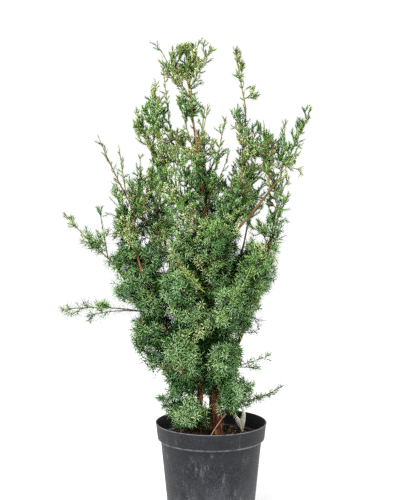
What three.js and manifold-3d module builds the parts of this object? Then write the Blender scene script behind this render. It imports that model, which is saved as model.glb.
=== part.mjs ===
// A columnar Chinese juniper in a black nursery pot: a clump of upswept stems from one root, with boughs
// that fork from them and tufts of needle foliage round both. Sizes are millimetres, +Z is up, and the
// origin is the centre of the pot's flat underside. The plant is seen from the front along +Y.
import * as THREE from 'three';
import { mergeVertices } from 'three/addons/utils/BufferGeometryUtils.js';
import Module from 'manifold-3d';

const wasm = await Module();
wasm.setup();

// Air left between neighbouring pieces
const GAP = 0.3;

// Pot: a round tapered wall under a deep collar that flares to the lip
const POT = {
  height: 200, lip: 115, collarFoot: 110.5, shoulder: 104, foot: 87, collar: 33, step: 4.5, wall: 2.4,
};
const POT_SIDES = 26;
const DRAINS = { count: 6, ring: 58, radius: 6, sides: 8 };

// Soil fills the pot to a little under the rim
const SOIL_TOP = POT.height - 30;
const SOIL_EDGE = { drop: 4, width: 6 };

// Plain loop label that stands in the soil: a strip pinched to a point, with a slot in its upper half
const LABEL = {
  foot: [68, 28, SOIL_TOP + 2 * GAP], tip: [54, 12, 236], width: 15, thickness: 1.2, strand: 3.2,
  yaw: 0.5,
};

// Stems rise from the soil. Boughs leave a parent limb at a share of its length. Each runs to its tip, with
// its middle pushed out of the straight line by the bow, and tapers between two radii.
const LIMBS = [
  { name: 'main_stem', foot: [15, 15], tip: [-42, 5, 857], bow: [16, -5, 0], radii: [8.5, 1.9] },
  { name: 'front_stem', foot: [-29, -8], tip: [-39, -15, 642], bow: [18, 0, 0], radii: [7.2, 2.4] },
  { name: 'back_stem', foot: [5, 48], tip: [-10, 95, 690], bow: [0, 25, 0], radii: [6.5, 2.0] },
  {
    name: 'left_stem', on: 'front_stem', at: 0.27,
    tip: [-164, -20, 647], bow: [-40, -4, -30], radii: [4.6, 1.8],
  },
  {
    name: 'left_leader', on: 'front_stem', at: 0.96,
    tip: [-105, -15, 760], bow: [-6, -4, -8], radii: [2.3, 1.6],
  },
  {
    name: 'left_low_bough', on: 'left_stem', at: 0.5,
    tip: [-196, -27, 526], bow: [-6, -4, -12], radii: [2.1, 1.5],
  },
  {
    name: 'right_stem', on: 'main_stem', at: 0.14,
    tip: [138, 10, 649], bow: [20, 12, -14], radii: [4.8, 1.8],
  },
  {
    name: 'right_leader', on: 'main_stem', at: 0.41,
    tip: [73, 22, 856], bow: [24, 10, -6], radii: [3.4, 1.6],
  },
  {
    name: 'right_bough', on: 'main_stem', at: 0.53,
    tip: [141, -38, 703], bow: [2, -16, -4], radii: [3.6, 2.0],
  },
  {
    name: 'low_right_bough', on: 'main_stem', at: 0.05,
    tip: [59, -25, 245], bow: [4, -4, -6], radii: [2.2, 1.5],
  },
  {
    name: 'back_left_bough', on: 'back_stem', at: 0.3,
    tip: [-105, 115, 600], bow: [-18, 10, -24], radii: [3.4, 1.7],
  },
  {
    name: 'back_right_bough', on: 'back_stem', at: 0.42,
    tip: [88, 122, 640], bow: [16, 10, -20], radii: [3.2, 1.7],
  },
];
const STEM_SIDES = 8;
const BOUGH_SIDES = 6;
const LIMB_RINGS = 7;
const TAPER = 0.85;
const FLARE = { swell: 0.45, fade: 14 };

// Tufts of foliage. Each grows from a limb at a share of its length, 1 being the limb's tip. Its first shoot
// runs to the first tip, its other shoots fork from that one, and its sprays stay within its reach of them.
// A bare share of the first shoot carries no sprays, a sag lets the shoots hang or arch, a clad tuft has only
// needles along its shoots, and a dense tuft has a core of this share of its reach.
const TUFTS = [
  {
    name: 'top_tuft', on: 'main_stem', at: 1, reach: 30, bare: 0.1, core: 0.5,
    tips: [[-50, 24, 986], [-106, 4, 974], [-10, -8, 962], [-26, 6, 990]],
  },
  {
    name: 'leader_left_tuft', on: 'main_stem', at: 0.8, reach: 23,
    tips: [[-66, 12, 864], [-88, -20, 802]],
  },
  {
    name: 'leader_right_tuft', on: 'main_stem', at: 0.85, reach: 17,
    tips: [[-6, -8, 852], [-12, 28, 858]],
  },
  {
    name: 'centre_shoots', on: 'main_stem', at: 0.66, reach: 22, bare: 0.25,
    tips: [[27, -5, 816], [33, -26, 742]],
  },
  {
    name: 'centre_right_tuft', on: 'main_stem', at: 0.5, reach: 42, bare: 0.2, core: 0.7,
    tips: [[58, -34, 690]],
  },
  {
    name: 'left_leader_tuft', on: 'left_leader', at: 1, reach: 26, core: 0.45,
    tips: [[-115, -18, 884], [-138, 8, 858]],
  },
  {
    name: 'left_leader_side_tuft', on: 'left_leader', at: 0.62, reach: 30, core: 0.5,
    tips: [[-154, 26, 838], [-136, -22, 776]],
  },
  {
    name: 'slender_shoot', on: 'left_leader', at: 0.4, reach: 15, bare: 0.3, clad: true,
    tips: [[-102, 12, 956]],
  },
  {
    name: 'left_long_shoots', on: 'left_stem', at: 1, reach: 18, bare: 0.1, clad: true,
    tips: [[-231, -25, 788], [-190, -12, 769]],
  },
  {
    name: 'left_upper_tuft', on: 'left_stem', at: 0.86, reach: 30, core: 0.4,
    tips: [[-144, 8, 728], [-118, -22, 712]],
  },
  {
    name: 'left_outer_tuft', on: 'left_stem', at: 0.76, reach: 34, core: 0.55,
    tips: [[-192, -28, 664], [-200, 12, 640]],
  },
  { name: 'left_inner_tuft', on: 'left_stem', at: 0.6, reach: 42, core: 0.75, tips: [[-122, 62, 646]] },
  {
    name: 'left_low_shoot', on: 'left_low_bough', at: 1, reach: 18, sag: 0.05,
    tips: [[-298, -32, 628], [-224, -44, 630]],
  },
  {
    name: 'left_arm_shoot', on: 'left_stem', at: 0.4, reach: 18, bare: 0.3, sag: -0.06,
    tips: [[-304, -38, 434], [-246, -46, 424]],
  },
  {
    name: 'left_arm_tuft', on: 'left_stem', at: 0.42, reach: 36, bare: 0.1, core: 0.65,
    tips: [[-176, -58, 492]],
  },
  {
    name: 'left_middle_tuft', on: 'left_stem', at: 0.5, reach: 36, bare: 0.15, core: 0.55,
    tips: [[-176, 64, 566]],
  },
  {
    name: 'left_lower_tuft', on: 'left_stem', at: 0.2, reach: 40, core: 0.75,
    tips: [[-152, -42, 412], [-126, 40, 420]],
  },
  {
    name: 'left_foot_tuft', on: 'front_stem', at: 0.2, reach: 32, core: 0.55,
    tips: [[-134, -36, 350], [-92, -50, 276]],
  },
  {
    name: 'low_front_tuft', on: 'front_stem', at: 0.08, reach: 34, bare: 0.2, sag: -0.2, core: 0.4,
    tips: [[-86, -60, 226], [-56, -84, 232]],
  },
  { name: 'front_lower_tuft', on: 'front_stem', at: 0.24, reach: 42, core: 0.75, tips: [[-66, -96, 372]] },
  { name: 'front_middle_tuft', on: 'front_stem', at: 0.42, reach: 46, core: 0.7, tips: [[-74, -92, 518]] },
  { name: 'front_upper_tuft', on: 'front_stem', at: 0.68, reach: 44, core: 0.7, tips: [[-66, -84, 650]] },
  {
    name: 'front_high_tuft', on: 'front_stem', at: 1, reach: 38, core: 0.75,
    tips: [[-62, -50, 738], [-96, -62, 700]],
  },
  { name: 'centre_lower_tuft', on: 'main_stem', at: 0.16, reach: 40, core: 0.75, tips: [[26, -84, 350]] },
  { name: 'centre_middle_tuft', on: 'main_stem', at: 0.28, reach: 44, core: 0.7, tips: [[32, -92, 478]] },
  { name: 'centre_upper_tuft', on: 'main_stem', at: 0.43, reach: 44, core: 0.7, tips: [[2, -86, 604]] },
  { name: 'centre_high_tuft', on: 'main_stem', at: 0.58, reach: 42, core: 0.75, tips: [[-14, 66, 716]] },
  {
    name: 'right_lower_tuft', on: 'right_stem', at: 0.18, reach: 28, core: 0.6,
    tips: [[60, -40, 418], [56, -30, 362]],
  },
  { name: 'right_middle_tuft', on: 'right_stem', at: 0.44, reach: 34, core: 0.6, tips: [[118, 58, 528]] },
  { name: 'right_front_tuft', on: 'right_stem', at: 0.4, reach: 42, core: 0.75, tips: [[86, -62, 536]] },
  {
    name: 'right_outer_tuft', on: 'right_stem', at: 0.74, reach: 28, core: 0.45,
    tips: [[146, -12, 654], [96, -14, 618]],
  },
  {
    name: 'right_tip_tuft', on: 'right_stem', at: 1, reach: 30, core: 0.4,
    tips: [[154, 5, 690], [128, 26, 712]],
  },
  { name: 'low_right_shoot', on: 'low_right_bough', at: 1, reach: 15, bare: 0.1, tips: [[146, -30, 280]] },
  {
    name: 'low_right_tuft', on: 'low_right_bough', at: 0.5, reach: 32, core: 0.6,
    tips: [[58, -74, 298], [34, -62, 258]],
  },
  {
    name: 'right_bough_shoots', on: 'right_bough', at: 1, reach: 26, core: 0.45,
    tips: [[150, -30, 802], [198, -42, 834], [178, -48, 718]],
  },
  {
    name: 'right_mid_tuft', on: 'right_bough', at: 0.84, reach: 26, bare: 0.25,
    tips: [[108, -16, 818], [112, -34, 776]],
  },
  {
    name: 'right_leader_tip', on: 'right_leader', at: 1, reach: 18, clad: true,
    tips: [[51, 22, 981], [88, 18, 886]],
  },
  {
    name: 'right_leader_tuft', on: 'right_leader', at: 0.74, reach: 32, core: 0.4,
    tips: [[98, 2, 806], [92, -12, 764], [54, -8, 836]],
  },
  {
    name: 'right_leader_low_tuft', on: 'right_leader', at: 0.5, reach: 40, core: 0.6,
    tips: [[74, 82, 738]],
  },
  { name: 'back_tip_tuft', on: 'back_stem', at: 1, reach: 34, core: 0.5, tips: [[-14, 126, 806]] },
  {
    name: 'back_left_tip_tuft', on: 'back_left_bough', at: 1, reach: 36, core: 0.5,
    tips: [[-120, 126, 738]],
  },
  {
    name: 'back_left_low_tuft', on: 'back_left_bough', at: 0.45, reach: 48, core: 0.65,
    tips: [[-112, 134, 526]],
  },
  {
    name: 'back_right_tip_tuft', on: 'back_right_bough', at: 1, reach: 36, core: 0.5,
    tips: [[102, 132, 756]],
  },
  {
    name: 'back_right_low_tuft', on: 'back_right_bough', at: 0.4, reach: 46, core: 0.6,
    tips: [[116, 122, 560]],
  },
  { name: 'back_lower_tuft', on: 'back_stem', at: 0.22, reach: 50, core: 0.6, tips: [[-10, 140, 404]] },
];

// Sprays leave a shoot through its three faces in turn, or a core through its outer faces. Each is a slim
// three-sided body on a thin stalk, and needles stand out of its faces.
const SPRAY = {
  first: 0.06, firstOnFork: 0.1, last: 0.84, step: 28, lean: 0.8, jitter: 0.6, vary: 0.15,
  rings: 2, stalk: 0.7, swell: 4.4, bare: 0.3, shortest: 18, leastShare: 0.7, shrink: 0.78, apart: 20,
};
const CORE = {
  at: 0.6, share: 0.72, stretch: 1, least: 7, draw: 0.85, faces: 3, lift: 0.5, liftOrder: 0.3, sink: 3,
  spike: 1.35, spikeLift: 0.6, spikeLeast: 2,
};
const NEEDLE = { out: 7, outShare: 0.1, most: 13, reachShare: 1 / 3, forward: 0.5 };
const SHOOT = {
  radius: 2.8, fork: 0.85, forkRoot: 1.2, sag: 0.1, ring: 50, leastRings: 3, forkFirst: 0.14, forkStep: 0.13,
};
const CLAD = { ring: 27, from: 0.12 };
const CLEARANCE = 1.4;
const AXIS_STEPS = 7;

const MATERIALS = {
  pot: new THREE.MeshStandardMaterial({ color: 0x333438, roughness: 0.62, metalness: 0 }),
  soil: new THREE.MeshStandardMaterial({ color: 0x2a1d14, roughness: 0.97, metalness: 0 }),
  bark: new THREE.MeshStandardMaterial({ color: 0x7a4630, roughness: 0.88, metalness: 0 }),
  foliage: new THREE.MeshStandardMaterial({ color: 0x54794a, roughness: 0.66, metalness: 0 }),
  label: new THREE.MeshStandardMaterial({ color: 0xd8d2bf, roughness: 0.5, metalness: 0 }),
};

// A repeatable run of numbers from 0 to 1, so that the plant grows the same way each time
function randomRun(seed) {
  let state = seed;
  return () => {
    state = (state * 1664525 + 1013904223) % 4294967296;
    return state / 4294967296;
  };
}

// A three.js geometry with only its places left and shared corners merged
function mergedShape(geometry) {
  const bare = geometry.clone();
  bare.deleteAttribute('normal');
  bare.deleteAttribute('uv');
  return mergeVertices(bare, 1e-4);
}

function solidOf(geometry) {
  const shape = mergedShape(geometry);
  return new wasm.Manifold(new wasm.Mesh({
    numProp: 3,
    vertProperties: new Float32Array(shape.attributes.position.array),
    triVerts: new Uint32Array(shape.index.array),
  }));
}

function geometryOf(solid) {
  const mesh = solid.getMesh();
  const geometry = new THREE.BufferGeometry();
  geometry.setAttribute('position', new THREE.BufferAttribute(new Float32Array(mesh.vertProperties), 3));
  geometry.setIndex(new THREE.BufferAttribute(new Uint32Array(mesh.triVerts), 1));
  geometry.computeVertexNormals();
  return geometry;
}

// The largest body of a solid: a cut can leave scraps, which are dropped
function largestBody(solid) {
  return solid.decompose().reduce((best, body) => (body.volume() > best.volume() ? body : best));
}

const vector = (place) => new THREE.Vector3(...place);

// A curve between two points whose middle is pushed out of the straight line by the bow
function bowedCurve(start, end, bow) {
  const third = start.clone().lerp(end, 1 / 3).add(bow);
  const twoThirds = start.clone().lerp(end, 2 / 3).add(bow);
  return new THREE.CubicBezierCurve3(start, third, twoThirds, end);
}

// Bends an upright shape of height 1 along a curve. Its sides keep their distances from the middle line.
function bendAlong(geometry, curve, rings) {
  const frames = curve.computeFrenetFrames(rings);
  const place = geometry.attributes.position;
  for (let i = 0; i < place.count; i += 1) {
    const share = THREE.MathUtils.clamp(place.getY(i) + 0.5, 0, 1);
    const ring = Math.round(share * rings);
    const point = curve.getPointAt(share)
      .addScaledVector(frames.normals[ring], place.getX(i))
      .addScaledVector(frames.binormals[ring], -place.getZ(i));
    place.setXYZ(i, point.x, point.y, point.z);
  }
  return geometry;
}

// One limb: a tapering round rod along its curve, swollen at the root where it leaves the soil
function limbShape(limb, extra = 0) {
  const sides = limb.on ? BOUGH_SIDES : STEM_SIDES;
  const rod = new THREE.CylinderGeometry(1, 1, 1, sides, LIMB_RINGS);
  const place = rod.attributes.position;
  for (let i = 0; i < place.count; i += 1) {
    const radius = limbRadius(limb, place.getY(i) + 0.5) + extra;
    place.setX(i, place.getX(i) * radius);
    place.setZ(i, place.getZ(i) * radius);
  }
  const beyond = limb.curve.getTangentAt(1).multiplyScalar(extra);
  const ends = [...Array(place.count).keys()].map((i) => place.getY(i));
  bendAlong(rod, limb.curve, LIMB_RINGS);
  ends.forEach((end, i) => {
    // The tip is lengthened as much as the sides. A stem's foot is a level cut at the soil, whatever its lean
    const at = new THREE.Vector3().fromBufferAttribute(place, i);
    if (end === 0.5) at.add(beyond);
    if (end === -0.5 && !limb.on) at.setZ(SOIL_TOP + GAP - extra);
    place.setXYZ(i, at.x, at.y, at.z);
  });
  return rod;
}

function limbRadius(limb, share) {
  const [root, tip] = limb.radii;
  const flare = limb.on ? 0 : FLARE.swell * Math.exp((-share * limb.length) / FLARE.fade);
  return THREE.MathUtils.lerp(root, tip, share ** TAPER) * (1 + flare);
}

// Gives each limb its curve, its parent and the sample points that neighbours keep clear of
function layOutLimbs() {
  const byName = new Map();
  for (const row of LIMBS) {
    const parent = row.on ? byName.get(row.on) : null;
    const start = parent ? parent.curve.getPointAt(row.at) : vector([...row.foot, SOIL_TOP + GAP]);
    const curve = bowedCurve(start, vector(row.tip), vector(row.bow));
    const axis = curve.getSpacedPoints(2 * AXIS_STEPS);
    byName.set(row.name, { ...row, parent, curve, length: curve.getLength(), axis });
  }
  return byName;
}

// A shoot leaves low and turns up: its middle hangs a little under the straight line
function shootCurve(start, tip, sag = SHOOT.sag) {
  const level = Math.hypot(tip.x - start.x, tip.y - start.y);
  return bowedCurve(start, tip, new THREE.Vector3(0, 0, -sag * level));
}

// The shoots of one tuft: the first from the limb, the others forking from the first
function shootsOf(row, limbs) {
  const limb = limbs.get(row.on);
  const start = limb.curve.getPointAt(row.at);
  const first = shootCurve(start, vector(row.tips[0]), row.sag);
  const forks = row.tips.slice(1).map((tip, i) => {
    const share = SHOOT.forkFirst + SHOOT.forkStep * i;
    return shootCurve(first.getPointAt(share), vector(tip), row.sag);
  });
  return [first, ...forks].map((curve, i) => {
    const length = curve.getLength();
    const rings = Math.max(SHOOT.leastRings, Math.round(length / (row.clad ? CLAD.ring : SHOOT.ring)));
    const radius = SHOOT.radius * (i ? SHOOT.fork : 1);
    return { curve, length, rings, radius, axis: curve.getSpacedPoints(AXIS_STEPS) };
  });
}

const segment = new THREE.Line3();
const nearest = new THREE.Vector3();

// Distance from a point to a line through sample points, with the share of the line where it is nearest
function distanceTo(axis, point) {
  let best = { distance: Infinity, share: 0 };
  for (let i = 0; i + 1 < axis.length; i += 1) {
    segment.set(axis[i], axis[i + 1]);
    segment.closestPointToPoint(point, true, nearest);
    const distance = nearest.distanceTo(point);
    if (distance < best.distance) {
      const along = nearest.distanceTo(axis[i]) / Math.max(segment.distance(), 1e-6);
      best = { distance, share: (i + along) / (axis.length - 1) };
    }
  }
  return best;
}

function distanceToTuft(tuft, point) {
  return Math.min(...tuft.shoots.map((shoot) => distanceTo(shoot.axis, point).distance));
}

// A point is in a tuft's own space when it is within reach of the tuft's shoots and, for its reach, nearer to
// them than to those of any other tuft
function inOwnSpace(tuft, tufts, point) {
  const own = distanceToTuft(tuft, point);
  if (own > tuft.reach) return false;
  return tufts.every((other) => {
    if (other === tuft) return true;
    const away = distanceToTuft(other, point) / other.reach - own / tuft.reach;
    return away * Math.min(tuft.reach, other.reach) > 2 * CLEARANCE;
  });
}

function clearOfLimbs(limbs, point) {
  for (const limb of limbs.values()) {
    const { distance, share } = distanceTo(limb.axis, point);
    if (distance < limbRadius(limb, share) + CLEARANCE) return false;
  }
  return true;
}

// Foliage stays above the rim, or inside the lip and above the soil, and off the label
function clearOfPot(point) {
  const overRim = point.z > POT.height + 2 * CLEARANCE;
  const overSoil = point.z > SOIL_TOP + 2 * CLEARANCE;
  const inside = Math.hypot(point.x, point.y) < POT.shoulder - 4 * CLEARANCE;
  const label = distanceTo([vector(LABEL.foot), vector(LABEL.tip)], point).distance;
  return (overRim || (inside && overSoil)) && label > LABEL.width / 2 + CLEARANCE;
}

// A three-sided body along a curve that ends in a point, as thick at each ring as the radii say. Past the
// bare share its faces are drawn out into needles that lean forward.
function needledShape(curve, { rings, radiusAt, needleOut, bare }) {
  const spindle = new THREE.CylinderGeometry(0, 1, 1, 3, rings);
  const place = spindle.attributes.position;
  for (let i = 0; i < place.count; i += 1) {
    const share = place.getY(i) + 0.5;
    const widen = share > 0.999 ? 1 : radiusAt(share) / (1 - share);
    place.setXYZ(i, place.getX(i) * widen, place.getY(i), place.getZ(i) * widen);
  }
  const levels = mergedShape(spindle).attributes.position;
  const shape = mergedShape(bendAlong(spindle, curve, rings));
  const corners = [...shape.attributes.position.array];
  const faces = [];
  const panel = curve.getLength() / rings;
  const centre = new THREE.Vector3();
  for (let f = 0; f < shape.index.count; f += 3) {
    const [a, b, c] = [0, 1, 2].map((k) => shape.index.getX(f + k));
    const shares = [a, b, c].map((k) => levels.getY(k) + 0.5);
    const middle = (shares[0] + shares[1] + shares[2]) / 3;
    if (Math.max(...shares) - Math.min(...shares) < 1e-3 || middle < bare) {
      faces.push(a, b, c);
    } else {
      centre.set(0, 0, 0);
      [a, b, c].forEach((k) => centre.add(vector(corners.slice(3 * k, 3 * k + 3))));
      centre.multiplyScalar(1 / 3);
      const along = curve.getTangentAt(middle);
      const out = centre.clone().sub(curve.getPointAt(middle));
      out.addScaledVector(along, -out.dot(along)).setLength(needleOut);
      centre.add(out).addScaledVector(along, NEEDLE.forward * panel);
      const apex = corners.length / 3;
      corners.push(centre.x, centre.y, centre.z);
      faces.push(a, b, apex, b, c, apex, c, a, apex);
    }
  }
  const made = new THREE.BufferGeometry();
  made.setAttribute('position', new THREE.BufferAttribute(new Float32Array(corners), 3));
  made.setIndex(faces);
  return made;
}

// One spray of needles: a thin stalk that swells and then runs out to a point
function sprayShape(start, heading, length) {
  const curve = shootCurve(start, start.clone().addScaledVector(heading, length));
  return needledShape(curve, {
    rings: SPRAY.rings,
    radiusAt: (share) => (share === 0 ? SPRAY.stalk : SPRAY.swell),
    needleOut: Math.min(NEEDLE.most, NEEDLE.out + NEEDLE.outShare * length),
    bare: SPRAY.bare,
  });
}

// The longest spray that fits the test and keeps apart from the sprays before it, or none when it would be
// too short
function fittedSpray(start, heading, longest, test, taken) {
  const least = Math.min(SPRAY.shortest, SPRAY.leastShare * longest);
  for (let length = longest; length > least; length *= SPRAY.shrink) {
    const ends = [0.55, 1].map((share) => start.clone().addScaledVector(heading, share * length));
    const crowded = taken.some((point) => ends.some((end) => end.distanceTo(point) < SPRAY.apart));
    const shape = sprayShape(start, heading, length);
    if (!crowded && fits(shape, test)) {
      taken.push(...ends);
      return [solidOf(shape)];
    }
  }
  return [];
}

// True when each corner passes the test, but for the stalk's, which are sunk into the shoot or core
function fits(shape, test) {
  const place = shape.attributes.position;
  const corner = new THREE.Vector3();
  for (let i = 3; i < place.count; i += 1) {
    if (!test(corner.fromBufferAttribute(place, i))) return false;
  }
  return true;
}

// Sprays are longest where the shoot starts and shortest at its tip
const crownOf = (share) => 0.42 + 0.58 * Math.sqrt(1 - share);

function shootSprays(tuft, shoot, from, random, test, taken) {
  const count = Math.max(2, Math.round((shoot.length * (SPRAY.last - from)) / SPRAY.step));
  const frames = shoot.curve.computeFrenetFrames(shoot.rings);
  return [...Array(count).keys()].flatMap((i) => {
    const share = from + ((SPRAY.last - from) * (i + 0.5)) / count;
    const ring = Math.round(share * shoot.rings);
    const turn = (2 * Math.PI * (i + 0.5)) / 3 + SPRAY.jitter * (random() - 0.5);
    const side = frames.normals[ring].clone().multiplyScalar(Math.sin(turn))
      .addScaledVector(frames.binormals[ring], -Math.cos(turn));
    const heading = shoot.curve.getTangentAt(share).multiplyScalar(Math.cos(SPRAY.lean))
      .addScaledVector(side, Math.sin(SPRAY.lean));
    const longest = (tuft.reach * crownOf(share) * (1 - SPRAY.vary * random())) / Math.sin(SPRAY.lean);
    return fittedSpray(shoot.curve.getPointAt(share), heading, longest, test, taken);
  });
}

// The dense middle of a tuft: a faceted ball drawn in until each corner is in the tuft's own space
function coreShape(tuft, middle, along, test) {
  const ball = mergedShape(new THREE.IcosahedronGeometry(1, 0));
  const place = ball.attributes.position;
  for (let i = 0; i < place.count; i += 1) {
    const ray = new THREE.Vector3().fromBufferAttribute(place, i);
    let size = CORE.share * tuft.core * tuft.reach * (1 + CORE.stretch * Math.abs(ray.dot(along)));
    while (size > CORE.least && !test(ray.clone().multiplyScalar(size).add(middle))) size *= CORE.draw;
    ray.multiplyScalar(size).add(middle);
    place.setXYZ(i, ray.x, ray.y, ray.z);
  }
  return ball;
}

// Draws each face of a core out into a spike of needles, lifted towards the light
function spikedCore(ball, middle, test) {
  const corners = [...ball.attributes.position.array];
  const faces = [];
  for (let f = 0; f < ball.index.count; f += 3) {
    const [a, b, c] = [0, 1, 2].map((k) => ball.index.getX(f + k));
    const [va, vb, vc] = [a, b, c].map((k) => vector(corners.slice(3 * k, 3 * k + 3)));
    const face = new THREE.Triangle(va, vb, vc);
    const centre = face.getMidpoint(new THREE.Vector3());
    const out = face.getNormal(new THREE.Vector3());
    out.setZ(out.z + CORE.spikeLift).normalize();
    let size = CORE.spike * centre.distanceTo(middle);
    while (size > CORE.spikeLeast && !test(centre.clone().addScaledVector(out, size))) size *= CORE.draw;
    const apex = corners.length / 3;
    corners.push(...centre.addScaledVector(out, size).toArray());
    faces.push(a, b, apex, b, c, apex, c, a, apex);
  }
  const made = new THREE.BufferGeometry();
  made.setAttribute('position', new THREE.BufferAttribute(new Float32Array(corners), 3));
  made.setIndex(faces);
  return made;
}

// Sprays that stand out of the core's outer faces, lifted towards the light
function coreSprays(tuft, ball, middle, test, taken) {
  const limbPoint = tuft.shoots[0].axis[0];
  const outward = middle.clone().sub(limbPoint).setZ(0).normalize();
  const corners = ball.attributes.position;
  const faces = [];
  for (let f = 0; f < ball.index.count; f += 3) {
    const cornerAt = (k) => new THREE.Vector3().fromBufferAttribute(corners, ball.index.getX(f + k));
    const [a, b, c] = [0, 1, 2].map(cornerAt);
    const face = new THREE.Triangle(a, b, c);
    const normal = face.getNormal(new THREE.Vector3());
    const order = normal.dot(outward) + CORE.liftOrder * normal.z;
    faces.push({ centre: face.getMidpoint(new THREE.Vector3()), normal, order });
  }
  faces.sort((one, two) => two.order - one.order);
  return faces.slice(0, CORE.faces).flatMap(({ centre, normal }) => {
    const heading = normal.clone().setZ(normal.z + CORE.lift).normalize();
    return fittedSpray(centre.addScaledVector(normal, -CORE.sink), heading, tuft.reach, test, taken);
  });
}

// True when each edge of a solid is shared by two triangles only, so no two twigs meet in a bare line
function isSound(solid) {
  const { vertProperties: place, triVerts: corners } = solid.getMesh();
  const key = (v) => [0, 1, 2].map((k) => Math.round(place[3 * v + k] * 1e4)).join();
  const uses = new Map();
  for (let i = 0; i < corners.length; i += 1) {
    const next = i % 3 === 2 ? i - 2 : i + 1;
    const edge = [key(corners[i]), key(corners[next])].sort().join('|');
    uses.set(edge, (uses.get(edge) ?? 0) + 1);
  }
  return [...uses.values()].every((count) => count === 2);
}

// One tuft as a solid: its shoots, its twigs and, where dense, its core, cut clear of the limbs. A tuft that
// isn't sound grows again from the next seed.
function tuftSolid(tuft, tufts, limbs, number) {
  for (let seed = 101 + 7919 * number; ; seed += 1) {
    const solid = grownTuft(tuft, tufts, limbs, randomRun(seed));
    if (isSound(solid)) return solid;
  }
}

function grownTuft(tuft, tufts, limbs, random) {
  const test = (point) => inOwnSpace(tuft, tufts, point) && clearOfLimbs(limbs, point) && clearOfPot(point);
  const taken = [];
  const pieces = [];
  let inCore = () => false;
  if (tuft.core) {
    const middle = tuft.shoots[0].curve.getPointAt(CORE.at);
    const ball = coreShape(tuft, middle, tuft.shoots[0].curve.getTangentAt(CORE.at), test);
    pieces.push(solidOf(spikedCore(ball, middle, test)), ...coreSprays(tuft, ball, middle, test, taken));
    inCore = (point) => point.distanceTo(middle) < CORE.share * tuft.core * tuft.reach * (1 + CORE.stretch);
  }
  tuft.shoots.forEach((shoot, s) => {
    const from = Math.max(SPRAY.first, s ? SPRAY.firstOnFork : tuft.bare ?? 0);
    const rod = needledShape(shoot.curve, {
      rings: shoot.rings,
      radiusAt: (share) => (share === 0 && s ? SHOOT.forkRoot : shoot.radius),
      needleOut: Math.min(NEEDLE.reachShare * tuft.reach, NEEDLE.most),
      bare: tuft.clad ? Math.max(from, CLAD.from) : (shoot.rings - 1) / shoot.rings,
    });
    pieces.push(solidOf(rod));
    const open = (point) => test(point) && !inCore(point);
    if (!tuft.clad) pieces.push(...shootSprays(tuft, shoot, from, random, open, taken));
  });
  let solid = pieces.reduce((all, piece) => all.add(piece));
  for (const limb of limbs.values()) solid = solid.subtract(limb.grown);
  return largestBody(solid);
}

// The pot's half section turned round its axis, with drain holes through its floor
function potSolid() {
  const { height, lip, collarFoot, shoulder, foot, collar, step, wall } = POT;
  const section = [
    [0, 0], [foot - 1, 0], [foot, 1], [shoulder, height - collar - step], [collarFoot, height - collar],
    [lip, height], [lip - wall, height],
    [collarFoot - wall, height - collar + 1], [shoulder - wall, height - collar - step + 1],
    [foot - wall, wall], [0, wall],
  ].map(([x, y]) => new THREE.Vector2(x, y));
  const turned = new THREE.LatheGeometry(section, POT_SIDES).rotateX(Math.PI / 2);
  let pot = solidOf(turned);
  for (let i = 0; i < DRAINS.count; i += 1) {
    const turn = (2 * Math.PI * (i + 0.5)) / DRAINS.count;
    const drill = new THREE.CylinderGeometry(DRAINS.radius, DRAINS.radius, 4 * wall, DRAINS.sides)
      .rotateX(Math.PI / 2)
      .translate(DRAINS.ring * Math.cos(turn), DRAINS.ring * Math.sin(turn), 0);
    pot = pot.subtract(solidOf(drill));
  }
  return pot;
}

// Soil follows the inside of the wall and ends in a level top
function soilSolid() {
  const { height, shoulder, foot, collar, step, wall } = POT;
  const rise = (SOIL_TOP - wall) / (height - collar - step + 1 - wall);
  const atTop = THREE.MathUtils.lerp(foot - wall, shoulder - wall, Math.min(rise, 1));
  const section = [
    [0, wall + GAP], [foot - wall - 2 * GAP, wall + GAP], [atTop - 2 * GAP, SOIL_TOP - SOIL_EDGE.drop],
    [atTop - SOIL_EDGE.width, SOIL_TOP], [0, SOIL_TOP],
  ].map(([x, y]) => new THREE.Vector2(x, y));
  return solidOf(new THREE.LatheGeometry(section, POT_SIDES).rotateX(Math.PI / 2));
}

// The label: a drop-shaped loop, pinched to a point at its foot, leaning from foot to tip
function labelSolid() {
  const foot = vector(LABEL.foot);
  const tip = vector(LABEL.tip);
  const length = foot.distanceTo(tip);
  const half = LABEL.width / 2;
  const outline = new THREE.Shape();
  outline.moveTo(0, 0);
  outline.bezierCurveTo(half * 0.6, length * 0.2, half, length * 0.45, half, length * 0.7);
  outline.bezierCurveTo(half, length * 0.9, half * 0.5, length, 0, length);
  outline.bezierCurveTo(-half * 0.5, length, -half, length * 0.9, -half, length * 0.7);
  outline.bezierCurveTo(-half, length * 0.45, -half * 0.6, length * 0.2, 0, 0);
  const slot = new THREE.Path();
  slot.absellipse(0, length * 0.72, half - LABEL.strand, length * 0.2, 0, 2 * Math.PI, true);
  outline.holes.push(slot);
  const press = { depth: LABEL.thickness, bevelEnabled: false, curveSegments: 5 };
  const plate = new THREE.ExtrudeGeometry(outline, press);
  plate.translate(0, 0, -LABEL.thickness / 2).rotateY(LABEL.yaw);
  const heading = tip.clone().sub(foot).normalize();
  const lean = new THREE.Quaternion().setFromUnitVectors(new THREE.Vector3(0, 1, 0), heading);
  plate.applyQuaternion(lean).translate(foot.x, foot.y, foot.z);
  return solidOf(plate);
}

const plant = new THREE.Group();

function addPiece(name, solid, material) {
  const mesh = new THREE.Mesh(geometryOf(solid), material);
  mesh.name = name;
  plant.add(mesh);
}

const limbs = layOutLimbs();
for (const limb of limbs.values()) limb.grown = solidOf(limbShape(limb, GAP));

const tufts = TUFTS.map((row) => ({ ...row, shoots: shootsOf(row, limbs) }));

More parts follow.
